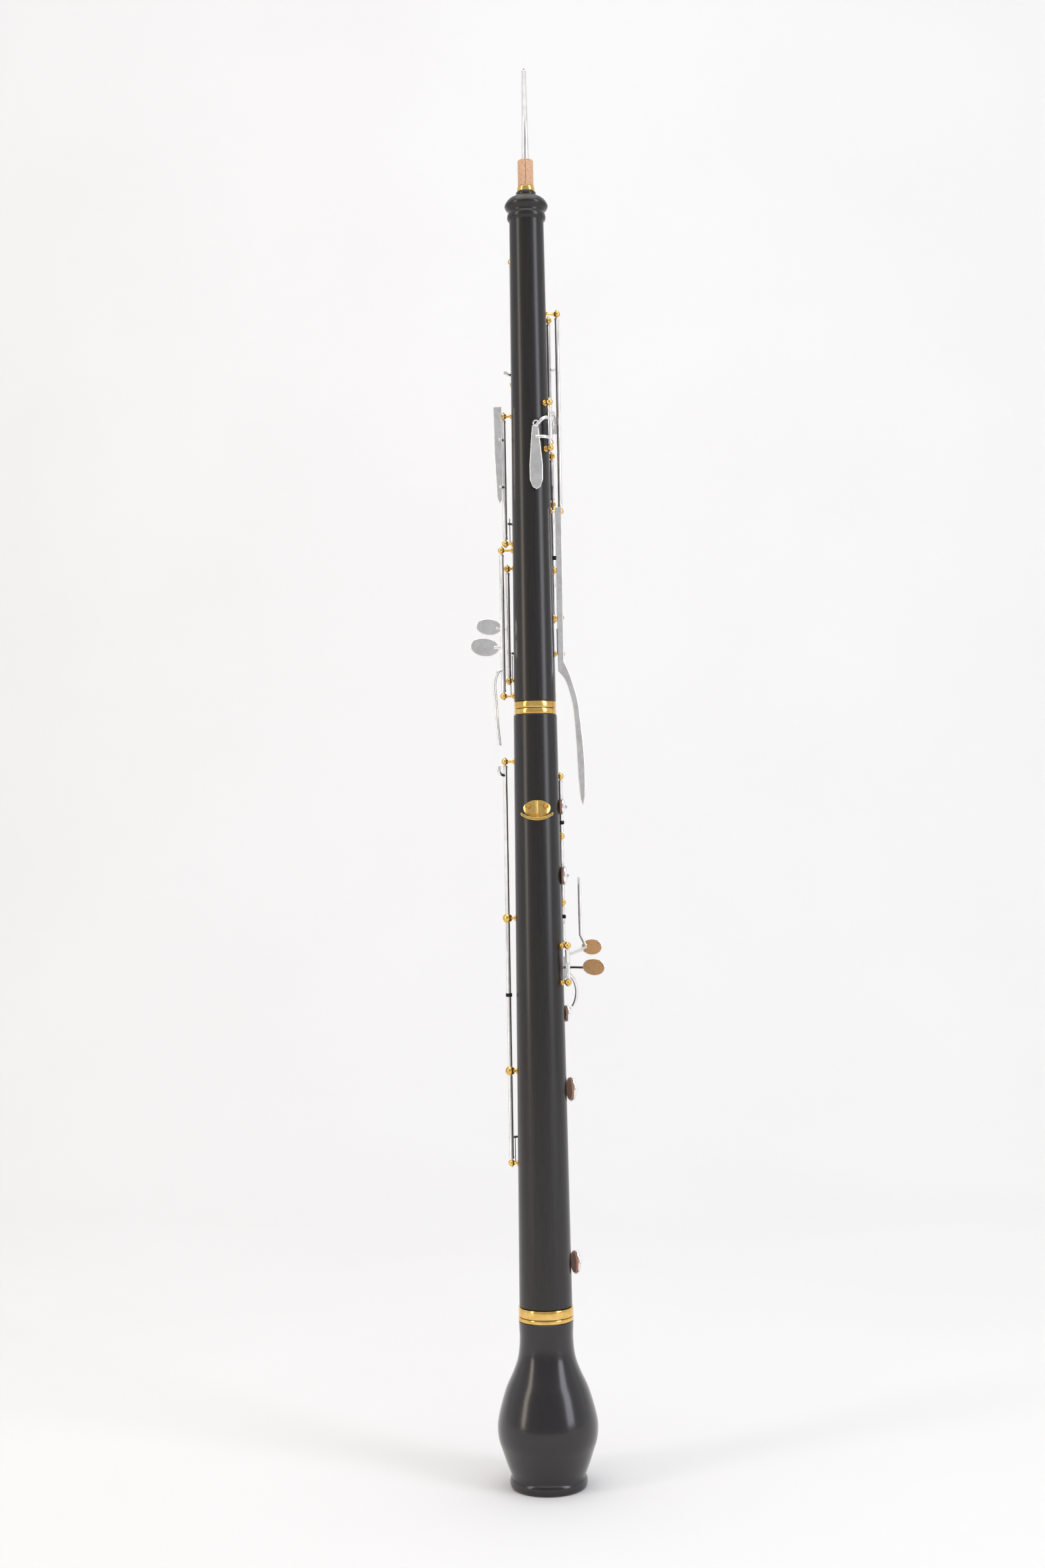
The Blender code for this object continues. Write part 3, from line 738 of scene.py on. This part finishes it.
@dataclass
class Keywork:
    """Every key with its pads, and the posts and springs that carry them."""

    shop: Workshop
    bore: Bore
    tube_r: float = 1.6
    ball_r: float = 2.2
    guide_r: float = 3.1
    post_sink: float = 0.9
    arm_r: float = 1.1
    arm_lift: float = 0.3
    tail_lift: float = 4.6
    finger_lift: float = 4.8
    fit: float = 0.3
    open_gap: float = 2.2
    pad_t: float = 1.9
    cup_t: float = 1.1
    cup_wall: float = 0.6
    touch_t: float = 1.4
    low_standoff: float = 4.3
    stack_standoff: float = 4.2
    spring_r: float = 0.25
    spring_len: float = 16.0
    spring_lift: float = 1.9
    # Azimuth, radius and height of each post, and whether a tube runs on through it.
    posts: dict[tuple[float, float, float], bool] = field(default_factory=dict)
    # Azimuth and height of each spring's foot, then each key's hinge line by its name.
    springs: list[tuple[float, float]] = field(default_factory=list)
    lines: dict[str, tuple[float, float]] = field(default_factory=dict)

    def line(self, azimuth: float, z: float, standoff: float) -> tuple[float, float]:
        """A hinge line's azimuth and radius, from its stand-off at a height."""
        return azimuth, self.bore.outside(z) + standoff

    def touch(self, outline: Profile, y: float, edge: float = 0.4, curved: bool = False) -> bpy.types.Mesh:
        """A touch or leaf of the keys' common thickness, whose face on the camera's side is at a given Y."""
        return slab(outline, y, y + self.touch_t, edge, curved)

    def hinge(self, line: tuple[float, float], low: float, high: float,
              guides: Sequence[float] = ()) -> bpy.types.Mesh:
        """Makes a hinge tube with a collar at each end, and notes its posts and spring.

        Args:
            line: The hinge line.
            low: The height of its lower post.
            high: The height of its upper post.
            guides: Heights of posts that the tube runs through.

        Returns:
            The tube's mesh.
        """
        reach = self.ball_r + self.fit
        base, length = at(*line, low + reach), high - low - 2 * reach
        for z in (low, high):
            self.posts[(*line, z)] = False
        for z in guides:
            self.posts[(*line, z)] = True
        self.springs.append((line[0], low))
        r = self.tube_r
        profile = [(0, length), (r - 0.2, length), (r, length - 0.2), (r, length - 1.6),
                   (r - 0.15, length - 1.8), (r - 0.15, 1.8), (r, 1.6), (r, 0.2), (r - 0.2, 0), (0, 0)]
        return lathe(profile, 24, facing(base, UP))

    def cup(self, azimuth: float, z: float, radius: float,
            gap: float) -> tuple[bpy.types.Mesh, bpy.types.Mesh, float]:
        """Makes a domed cup and its pad over a tone hole.

        Args:
            azimuth: Where round the joint it lies.
            z: Its height.
            radius: The cup's radius.
            gap: How far the pad stands off the wood.

        Returns:
            The cup's mesh, the pad's mesh and the radius at which its arm ends.
        """
        face = self.bore.outside(z) + gap
        crown = self.pad_t + self.fit + self.cup_t
        inner = radius - self.cup_wall
        seat = self.pad_t + self.fit
        dish = [(0, crown), (radius * 0.5, crown - 0.05), (radius - 1.2, crown - 0.2),
                (radius - 0.5, crown - 0.45), (radius - 0.1, crown - 0.8), (radius, crown - 1.1), (radius, 1.1),
                (radius - 0.15, 0.9), (inner, 0.9), (inner, seat), (0, seat)]
        frame = facing(at(azimuth, face, z), at(azimuth, 1, 0))
        pad_r = inner - self.fit
        pad = [(0, self.pad_t), (pad_r - 0.2, self.pad_t), (pad_r, self.pad_t - 0.3), (pad_r, 0.45),
               (pad_r - 0.15, 0.15), (pad_r - 0.5, 0), (pad_r * 0.75, 0), (pad_r * 0.68, 0.12), (0, 0.12)]
        return lathe(dish, 40, frame), lathe(pad, 40, frame), face + crown + self.arm_lift

    def arm(self, line: tuple[float, float], azimuth: float, z: float, end_r: float,
            over: float = 0.0) -> bpy.types.Mesh:
        """Makes a curved arm from a hinge line to a point around the joint.

        Args:
            line: The hinge line.
            azimuth: Where round the joint it ends.
            z: Its height.
            end_r: The radius at which it ends.
            over: Its least radius on the way, where it passes over another key.

        Returns:
            The arm's mesh.
        """
        degrees_a_step, widest_flat = 15, 28.0
        steps = max(3, round(abs(azimuth - line[0]) / degrees_a_step))
        points = []
        for step in range(steps + 1):
            share = step / steps
            angle = line[0] + (azimuth - line[0]) * share
            radius = line[1] + (end_r - line[1]) * share
            if 0 < step < steps:
                flat = math.cos(math.radians(min(abs(azimuth - angle), widest_flat)))
                radius = max(radius, over, end_r / flat)
            points.append(at(angle, radius, z))
        if over > end_r:
            points[-1:] = [at(azimuth, over, z), at(azimuth, end_r - self.arm_r, z)]
        return bar(points, self.arm_r)

    def key(self, name: str, line: tuple[float, float], span: tuple[float, float],
            cups: Sequence[tuple[float, float, float, float]] = (), extra: Sequence[bpy.types.Mesh] = (),
            over: float = 0.0, armless: bool = False, guides: Sequence[float] = ()) -> None:
        """Makes one key and its pads.

        Args:
            name: The key's node and body.
            line: Its hinge line.
            span: The heights of its two posts.
            cups: Azimuth, height, radius and gap of each cup.
            extra: Touches, bars and other meshes of the key.
            over: Least radius of its arms, where they pass over another key.
            armless: Whether its cup's arm is among the extra meshes.
            guides: Heights of posts that the tube runs through.
        """
        self.lines[name] = line
        meshes = [self.hinge(line, *span, guides), *extra]
        for (azimuth, z, radius, gap), label in zip(cups, ("_pad", "_vent_pad")):
            dish, pad, end_r = self.cup(azimuth, z, radius, gap)
            meshes.append(dish)
            if not armless:
                meshes.append(self.arm(line, azimuth, z, end_r, over))
            self.shop.piece("skin_" + name + label, [pad], Finish.PAD_SKIN, name, name + label)
        self.shop.piece("silver_" + name, meshes, Finish.SILVER, name, name)

    def build(self) -> None:
        """Makes all the keys from the top down, then their felts, posts and springs."""
        for group in (self.octaves, self.trills, self.left_hand, self.left_little_finger, self.low_b,
                      self.right_hand, self.right_little_finger, self.felts, self.stand):
            group()

    def octaves(self) -> None:
        """Makes the thumb octave key, the side octave key and the vent that it lifts."""
        line = self.line(-40, 642, self.stack_standoff)
        face = -(self.bore.outside(615) + 4.8)
        leaf = self.touch([(1.2, 655), (5.0, 655), (5.6, 650), (6.6, 640), (7.5, 630), (7.4, 621), (5.8, 616.4),
                           (3.4, 615), (1.0, 616.4), (-0.7, 621), (-0.8, 630), (0, 640), (0.8, 650)], face)
        bars = [bar([at(*line, z), (9.0, face + 1.2, z), (3.2, face + 0.7, min(z, 654.5))],
                    self.arm_r) for z in (648.0, 660.0)]
        loop = [(1.7 + 0.4 * math.cos(math.radians(turn)), 0.4 * math.sin(math.radians(turn)))
                for turn in range(0, 360, 30)]
        eyelet = lathe(loop, 32, facing((3.7, face - 0.1, 656.3), (0, -1, 0)))
        self.key("thumb_octave_key", line, (642, 671), [(-8, 664, 3.2, self.fit)], [leaf, eyelet, *bars])

        line = self.line(168, 584, standoff=4.9)
        leaf = self.touch([(-23.0, 671), (-18.0, 671), (-17.8, 640), (-18.6, 612), (-20.0, 609.5), (-21.6, 614),
                           (-22.8, 640)], -0.8)
        bars = [bar([at(*line, z), (-18.6, 0.4, z), (-20.2, 0.0, z)], self.arm_r)
                for z in (620.0, 650.0)]
        self.key("side_octave_key", line, (584.4, 665.4), [(130, 598, 3.2, self.fit)], [leaf, *bars])

        line = self.line(130, 688, self.low_standoff)
        tail = self.arm(line, 160, 694, self.bore.outside(694) + self.tail_lift)
        self.key("octave_vent_key", line, (688, 767), [(90, 752, 3.4, self.fit)], [tail])

    def trills(self) -> None:
        """Makes both trill keys and the long side lever."""
        line = self.line(38, 650, self.low_standoff)
        x, y, _ = at(*line, 0)
        touch = self.touch([(x - 0.6, 655), (x + 5.4, 655), (x + 7.2, 660), (x + 5.4, 668), (x - 0.6, 668)], y)
        self.key("upper_trill_key", line, (650, 728), [(90, 718, 4.0, self.fit)], [touch])
        line = self.line(18, 605, standoff=6.9)
        self.key("lower_trill_key", line, (605, 731), [(90, 697, 4.0, self.fit)], over=20.6)

        line = self.line(8.6, 514, standoff=4.5)
        x, y, _ = at(*line, 0)
        web = bar([(x, y, 525.5), (x, -1.9, 525.5)], self.arm_r)
        right = eased([(1.4, 509), (5.3, 499.5), (9.4, 485), (11.2, 470), (12.8, 452), (13.3, 438), (13.1, 427),
                       (11.7, 418.3)])
        left = eased([(11.7, 418.3), (10.1, 424), (9.0, 437), (8.4, 452), (7.6, 468), (6.2, 482), (2.6, 496),
                      (-2.3, 503)])
        outline = [(x + across, z) for across, z in [(-2.3, 606), (1.4, 606), *right, *left[1:]]]
        self.key("side_trill_lever", line, (514, 537), extra=[web, self.touch(outline, -2.6, 0.3)])

    def left_hand(self) -> None:
        """Makes the left hand's stack of three keys."""
        stack = self.line(38, 537, self.stack_standoff)
        for name, low, high, z, radius in (("left_index_key", 610, 641, 626, 6.0),
                                           ("left_middle_key", 568, 610, 590, 6.6),
                                           ("left_ring_key", 537, 568, 552, 7.0)):
            self.key(name, stack, (low, high), [(90, z, radius, self.open_gap)])

    def left_little_finger(self) -> None:
        """Makes the G sharp key and the low B lever, side by side under the little finger."""
        line = self.line(158, 498, self.low_standoff)
        touch = self.touch(oval(-28.4, 532.2, 7.9, 5.2, -6), 4.9, curved=True)
        stem = bar([at(*line, 531), (-20.5, 6.0, 531), (-24.0, 5.6, 531.5)], self.arm_r)
        self.key("g_sharp_key", line, (498, 569), [(115, 516, 5.0, self.fit)], [touch, stem])

        line = self.line(174, 488, standoff=6.6)
        touch = self.touch(oval(-31.0, 519.2, 9.0, 5.9, -8), 2.6, curved=True)
        stem = bar([at(*line, 519), (-22.0, 2.6, 519), (-25.0, 3.3, 519)], self.arm_r)
        link = bar([at(*line, 505), (-23.0, 0.6, 503), (-24.2, 0.2, 480),
                    (-22.6, 0.4, 457)], self.arm_r)
        self.key("low_b_lever", line, (488, 580), extra=[touch, stem, link])

    def low_b(self) -> None:
        """Makes the long rod down the lower joint and the low B key that it turns."""
        line = self.line(168, 197, self.low_standoff)
        x, y, _ = at(*line, 0)
        tail = bar([(x, y, 438), (x - 3.6, y - 3.6, 440), (x - 4.0, y - 4.0, 444)],
                   self.arm_r)
        finger = self.arm(line, 130, 212, self.bore.outside(212) + self.tail_lift)
        self.key("low_b_rod", line, (197, 447), extra=[tail, finger], guides=(254, 349))

        line = self.line(62, 117, self.low_standoff)
        finger = self.arm(line, 100, 200, self.bore.outside(200) + self.finger_lift)
        self.key("low_b_key", line, (117, 208), [(17, 135, 7.5, self.open_gap)], [finger, self.nub(17, 135)])

    def right_hand(self) -> None:
        """Makes the right hand's stack of three keys, two of them with a vent."""
        stack = self.line(37, 332, self.stack_standoff)
        gap = self.open_gap
        for name, span, cups in (
                ("right_index_key", (399.6, 437.5), [(90, 419, 7.0, gap), (2, 418, 5.0, self.fit)]),
                ("right_middle_key", (358, 399.6), [(90, 381, 7.0, gap), (2, 375, 6.0, self.fit)]),
                ("right_ring_key", (331.7, 358), [(90, 345, 6.8, gap)])):
            self.key(name, stack, span, cups)

    def right_little_finger(self) -> None:
        """Makes the E flat and low C keys with their lacquered touches."""
        line = self.line(-25, 309, self.low_standoff)
        x, y, _ = at(*line, 0)
        dish_r = self.bore.outside(289) + self.fit + self.pad_t + self.fit + self.cup_t + self.arm_lift
        dish_top = at(17, dish_r, 289)
        curve = bar([(x, y, 315), (21.6, -3.5, 309), (22.4, 1.5, 299), dish_top],
                    self.arm_r)
        touch = self.touch(oval(32.8, 330.2, 6.4, 5.1, -4), 2.2, curved=True)
        stem = bar([(x, y, 326), (23.4, -2.6, 328), (29.0, 2.6, 330)], self.arm_r)
        reach = bar([(29.0, 2.9, 331), (25.8, 3.2, 338), (25.6, 4.0, 374)], self.arm_r,
                    smooth=False)
        self.key("e_flat_key", line, (309, 331.7), [(17, 289, 5.5, self.fit)], [curve, touch, stem, reach],
                 armless=True)
        self.lacquer("e_flat_key", oval(32.8, 330.2, 5.9, 4.6, -4), 2.2)

        line = self.line(62, 222, self.low_standoff)
        touch = self.touch(oval(34.0, 317.2, 7.0, 5.4, -10), 10.0, curved=True)
        stem = bar([at(*line, 317), (18.0, 17.3, 317), (27.0, 12.6, 317),
                    (31.0, 10.9, 317)], self.arm_r)
        self.key("low_c_key", line, (222, 326.5), [(17, 242, 7.75, self.open_gap)],
                 [touch, stem, self.nub(17, 242)])
        self.lacquer("low_c_key", oval(34.0, 317.2, 6.5, 4.9, -10), 10.0)

    def lacquer(self, key: str, outline: Profile, y: float) -> None:
        """The aged lacquer on the underside of a little-finger touch, whose underside is at a given Y."""
        self.shop.piece("lacquer_" + key, [slab(outline, y - 0.12, y + 0.5, 0.1)], Finish.LACQUER, key)

    def nub(self, azimuth: float, z: float) -> bpy.types.Mesh:
        """Makes the small button soldered on the crown of a large open cup.

        Args:
            azimuth: Where round the joint the cup lies.
            z: The cup's height.

        Returns:
            The button's mesh.
        """
        sunk = 0.1
        crown = self.bore.outside(z) + self.open_gap + self.pad_t + self.fit + self.cup_t - sunk
        knob = [(0, 2.6), (0.7, 2.5), (1.1, 2.1), (1.2, 1.6), (0.9, 1.1), (0.8, 0.6), (1.2, 0.0), (0, 0)]
        return lathe(knob, 24, facing(at(azimuth, crown, z), at(azimuth, 1, 0)))

    def felts(self) -> None:
        """Puts black felt washers on the hinge tubes, where one key's lug rests on another."""
        washer = [(1.95, 2.2), (2.0, 2.0), (2.0, 0.2), (1.95, 0), (1.5, 0), (1.5, 2.2)]
        for name, z in (("right_index_key", 407.3), ("right_ring_key", 348.0), ("left_middle_key", 575.0),
                        ("low_b_rod", 300.0), ("low_c_key", 302.0)):
            frame = facing(at(*self.lines[name], z), UP)
            self.shop.piece("felt_" + name, [lathe(washer, 28, frame)], Finish.FELT, name)

    def stand(self) -> None:
        """Makes the ball posts, the ends of the rods in them, and the needle springs."""
        stands = []
        for (azimuth, radius, z), guide in self.posts.items():
            base = self.bore.outside(z) - self.post_sink
            height = radius - base
            ball = self.guide_r if guide else self.ball_r
            profile: list[tuple[float, float]] = [(0, height + ball)]
            for degrees in range(75, -61, -15):
                angle = math.radians(degrees)
                profile.append((ball * math.cos(angle), height + ball * math.sin(angle)))
            profile += [(0.9, height - ball * 0.95), (0.8, 2.4), (1.0, 2.0), (1.7, 1.8), (1.9, 1.6), (1.9, 0),
                        (0, 0)]
            stands.append(lathe(profile, 28, facing(at(azimuth, base, z), at(azimuth, 1, 0))))
        self.shop.piece("gold_ball_posts", stands, Finish.GOLD, "horn")
        reach, pin_r = self.ball_r + self.fit + 0.05, 0.8
        pins = [lathe([(0, reach), (pin_r, reach), (pin_r, -reach), (0, -reach)], 20,
                      facing(at(azimuth, radius, z), UP))
                for (azimuth, radius, z), guide in self.posts.items() if not guide]
        self.shop.piece("steel_pivot_rods", pins, Finish.SILVER, "horn")
        wires = []
        for azimuth, z in self.springs:
            radius = self.bore.outside(z) + self.spring_lift
            ends = [at(azimuth, radius, z), at(azimuth, radius, z + self.spring_len)]
            wires.append(bar(ends, self.spring_r))
        self.shop.piece("needle_springs", wires, Finish.SPRING_STEEL, "horn")


@dataclass
class Studio:
    """A pale floor and backdrop, soft lights, and the camera at the photograph's angle.

    The pixels are the photograph's: two points on the horn's axis, and the row at the camera's own height.
    """

    axis_top_px: tuple[float, float] = (790.0, 330.0)
    axis_low_px: tuple[float, float] = (823.5, 2220.0)
    image_px: tuple[float, float] = (1568.0, 2352.0)
    focal_px: float = 2900.0
    level_px: float = 1300.0
    eye_distance: float = 1.208
    eye_z: float = 0.381
    sensor_mm: float = 36.0
    aim_z: float = 0.42
    sweep_front: float = -4.0
    sweep_back: float = 1.6
    sweep_height: float = 3.2
    sweep_half: float = 3.5
    sweep_bend: float = 0.7
    sweep_steps: int = 16

    def build(self) -> None:
        """Sets the whole studio."""
        for part in (self.room, self.lamps, self.world, self.camera):
            part()

    @staticmethod
    def paper() -> bpy.types.Material:
        """Makes matt white background paper: an even ground whose tone drifts a little from place to place.

        Returns:
            The material.
        """
        made, tree, shader = blank_material("matt_white_paper")
        shader.inputs["Roughness"].default_value = 0.9
        place = add_node(tree, "ShaderNodeTexCoord")
        # The paper's own tooth is too fine to show. Its tone drifts over a third of a metre.
        drift = add_node(tree, "ShaderNodeTexNoise", {"Scale": 3.0, "Detail": 2.0},
                         {"Vector": place.outputs["Object"]})
        ramp = add_node(tree, "ShaderNodeValToRGB", links={"Fac": drift.outputs["Fac"]})
        for stop, colour in zip(ramp.color_ramp.elements, ("#F5F4F3", "#FBFBFA")):
            stop.color = linear(colour)
        tree.links.new(ramp.outputs["Color"], shader.inputs["Base Color"])
        return made

    def room(self) -> None:
        """Lays a floor that curves up into a backdrop."""
        start = self.sweep_back - self.sweep_bend
        section = [(self.sweep_front, 0.0), (start, 0.0)]
        for step in range(1, self.sweep_steps + 1):
            angle = math.pi / 2 * step / self.sweep_steps
            forward, rise = math.sin(angle), 1 - math.cos(angle)
            section.append((start + self.sweep_bend * forward, self.sweep_bend * rise))
        section.append((self.sweep_back, self.sweep_height))
        verts = [(x, y, z) for y, z in section for x in (-self.sweep_half, self.sweep_half)]
        faces = [[2 * i, 2 * i + 1, 2 * i + 3, 2 * i + 2] for i in range(len(section) - 1)]
        mesh = bpy.data.meshes.new("sweep")
        mesh.from_pydata(verts, [], faces)
        mesh.shade_smooth()
        mesh.materials.append(self.paper())
        sweep = bpy.data.objects.new("paper_sweep", mesh)
        bpy.context.scene.collection.objects.link(sweep)

    def lamps(self) -> None:
        """Hangs three soft boxes: a cool one at the right, a slim warm one at the left and one overhead."""
        for name, place, size, power, colour in (
                ("key_box", (1.9, -1.3, 1.3), (0.8, 2.2), 21.0, "#F1F4FF"),
                ("rim_box", (-1.7, -1.0, 1.1), (0.4, 2.0), 10.0, "#FFF0DF"),
                ("top_box", (0.0, -0.4, 2.6), (2.2, 2.2), 20.0, "#FFFFFF")):
            lamp = bpy.data.lights.new(name, "AREA")
            lamp.shape = "RECTANGLE"
            lamp.size, lamp.size_y = size
            lamp.energy = power
            lamp.color = linear(colour)[:3]
            holder = bpy.data.objects.new(name, lamp)
            holder.location = place
            aim = Vector((0, 0, self.aim_z)) - Vector(place)
            holder.rotation_euler = aim.to_track_quat("-Z", "Y").to_euler()
            bpy.context.scene.collection.objects.link(holder)

    @staticmethod
    def world() -> None:
        """Surrounds the horn with a pale room.

        The camera sees it nearly white, the horn is lit by it softly, and gloss mirrors it darker towards the
        camera's side.
        """
        world = bpy.data.worlds.new("pale_room")
        bpy.context.scene.world = world
        world.use_nodes = True
        tree = world.node_tree
        soft = tree.nodes["Background"]
        soft.inputs["Color"].default_value = linear("#F6F6F8")
        soft.inputs["Strength"].default_value = 0.6
        place = add_node(tree, "ShaderNodeTexCoord")
        parts = add_node(tree, "ShaderNodeSeparateXYZ", links={0: place.outputs["Generated"]})
        side = add_node(tree, "ShaderNodeMapRange",
                        {"From Min": -0.9, "From Max": 0.5, "To Min": 0.56, "To Max": 0.95},
                        {"Value": parts.outputs["Y"]})
        seen = add_node(tree, "ShaderNodeBackground", {"Color": linear("#F4F5F8")},
                        {"Strength": side.outputs["Result"]})
        rays = add_node(tree, "ShaderNodeLightPath")
        mirrored = add_node(tree, "ShaderNodeMath", operation="MAXIMUM",
                            links={0: rays.outputs["Is Glossy Ray"], 1: rays.outputs["Is Transmission Ray"]})
        open_room = add_node(tree, "ShaderNodeBackground", {"Color": linear("#F4F5F8"), "Strength": 0.95})
        lit = add_node(tree, "ShaderNodeMixShader",
                       links={0: mirrored.outputs["Value"], 1: soft.outputs["Background"],
                              2: seen.outputs["Background"]})
        mixed = add_node(tree, "ShaderNodeMixShader",
                         links={0: rays.outputs["Is Camera Ray"], 1: lit.outputs["Shader"],
                                2: open_room.outputs["Background"]})
        tree.links.new(mixed.outputs["Shader"], tree.nodes["World Output"].inputs["Surface"])

    def camera(self) -> None:
        """Places the camera so that the horn's axis falls where it does in the photograph."""
        (top_x, top_y), (low_x, low_y) = self.axis_top_px, self.axis_low_px
        lean = math.atan2(low_x - top_x, low_y - top_y)
        wide, tall = self.image_px
        middle_x = top_x + (low_x - top_x) * (tall / 2 - top_y) / (low_y - top_y)
        pitch = math.atan((self.level_px - tall / 2) / self.focal_px)
        yaw = math.atan((middle_x - wide / 2) / self.focal_px)
        ahead = Vector((-math.sin(yaw), math.cos(yaw) * math.cos(pitch), math.sin(pitch))).normalized()
        right = ahead.cross(UP).normalized()
        up = right.cross(ahead)
        tilted_right = right * math.cos(lean) - up * math.sin(lean)
        tilted_up = up * math.cos(lean) + right * math.sin(lean)
        turn = Matrix((tilted_right, tilted_up, -ahead)).transposed()
        view = bpy.data.cameras.new("photo_camera")
        view.sensor_width = self.sensor_mm
        view.lens = self.focal_px / tall * self.sensor_mm
        view.clip_start = 0.05
        holder = bpy.data.objects.new("photo_camera", view)
        holder.matrix_world = Matrix.Translation(Vector((0, -self.eye_distance, self.eye_z))) @ turn.to_4x4()
        bpy.context.scene.collection.objects.link(holder)
        bpy.context.scene.camera = holder
        bpy.context.scene.view_settings.view_transform = "Standard"


def finishes() -> dict[Finish, bpy.types.Material]:
    """Makes every finish of the horn.

    Returns:
        The material of each finish.
    """
    looks = {
        # Oiled grenadilla: near-black with a brown grain, and a low sheen rather than a mirror.
        Finish.WOOD: Wood("oiled_grenadilla", "#0A0706", "#1F1714", coat=0.15),
        # The same wood buffed on the bell: a deeper black that holds a sharper streak of light.
        Finish.BELL_WOOD: Wood("polished_bell_grenadilla", "#0E0A0C", "#1E1519", roughness=0.2),
        # Gold plate on nickel silver: a warm mirror, a little deeper where the cloth has missed it.
        Finish.GOLD: BrightMetal("polished_gold_plate", "#EFC878", "#DCAE5C", 0.1),
        # Silver plate: an almost white mirror.
        Finish.SILVER: BrightMetal("polished_silver_plate", "#F7F5F4", "#E9E5E2", 0.08),
        # Spring steel, blued by heat: dark, with a satin glint.
        Finish.SPRING_STEEL: BrightMetal("blued_spring_steel", "#3A4258", "#2B2F3B", 0.25),
        # Gut skin stretched over felt: pinkish tan and half glossy, with fine wrinkles.
        Finish.PAD_SKIN: SoftFacing("goldbeater_pad_skin", "#D39A80", "#B87A5E", 0.9, 0.5, 0.03),
        # Pressed wool felt: black and dull. Its fibres are far finer than the tufts drawn here.
        Finish.FELT: SoftFacing("pressed_black_felt", "#1E1C1E", "#121113", 0.4, 0.95, 0.1),
        # Sanded cork: pale tan with dark flecks about a millimetre across.
        Finish.CORK: SoftFacing("sanded_cork", "#DDB18E", "#7E5236", 0.9, 0.85, 0.12),
        # Glue that has soaked into the cork's seam: a thin brown line.
        Finish.GLUE_LINE: SoftFacing("cork_glue_line", "#7A563D", "#4E3424", 0.8, 0.7, 0.02),
        # Old clear lacquer, gone amber and crazed: mottled, and glossier than the cork.
        Finish.LACQUER: SoftFacing("crazed_amber_lacquer", "#B98C5C", "#86653F", 1.6, 0.35, 0.02),
    }
    return {finish: look.material() for finish, look in looks.items()}


def main() -> None:
    """Builds the horn's looks around the frame, then the studio."""
    logging.basicConfig(level=logging.INFO)
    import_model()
    shop = Workshop(finishes())
    bore = Bore()
    for part in (WoodenBody(shop, bore), Crook(shop), ThumbRest(shop), Keywork(shop, bore)):
        part.build()
    Studio().build()


if __name__ == "__main__":
    main()
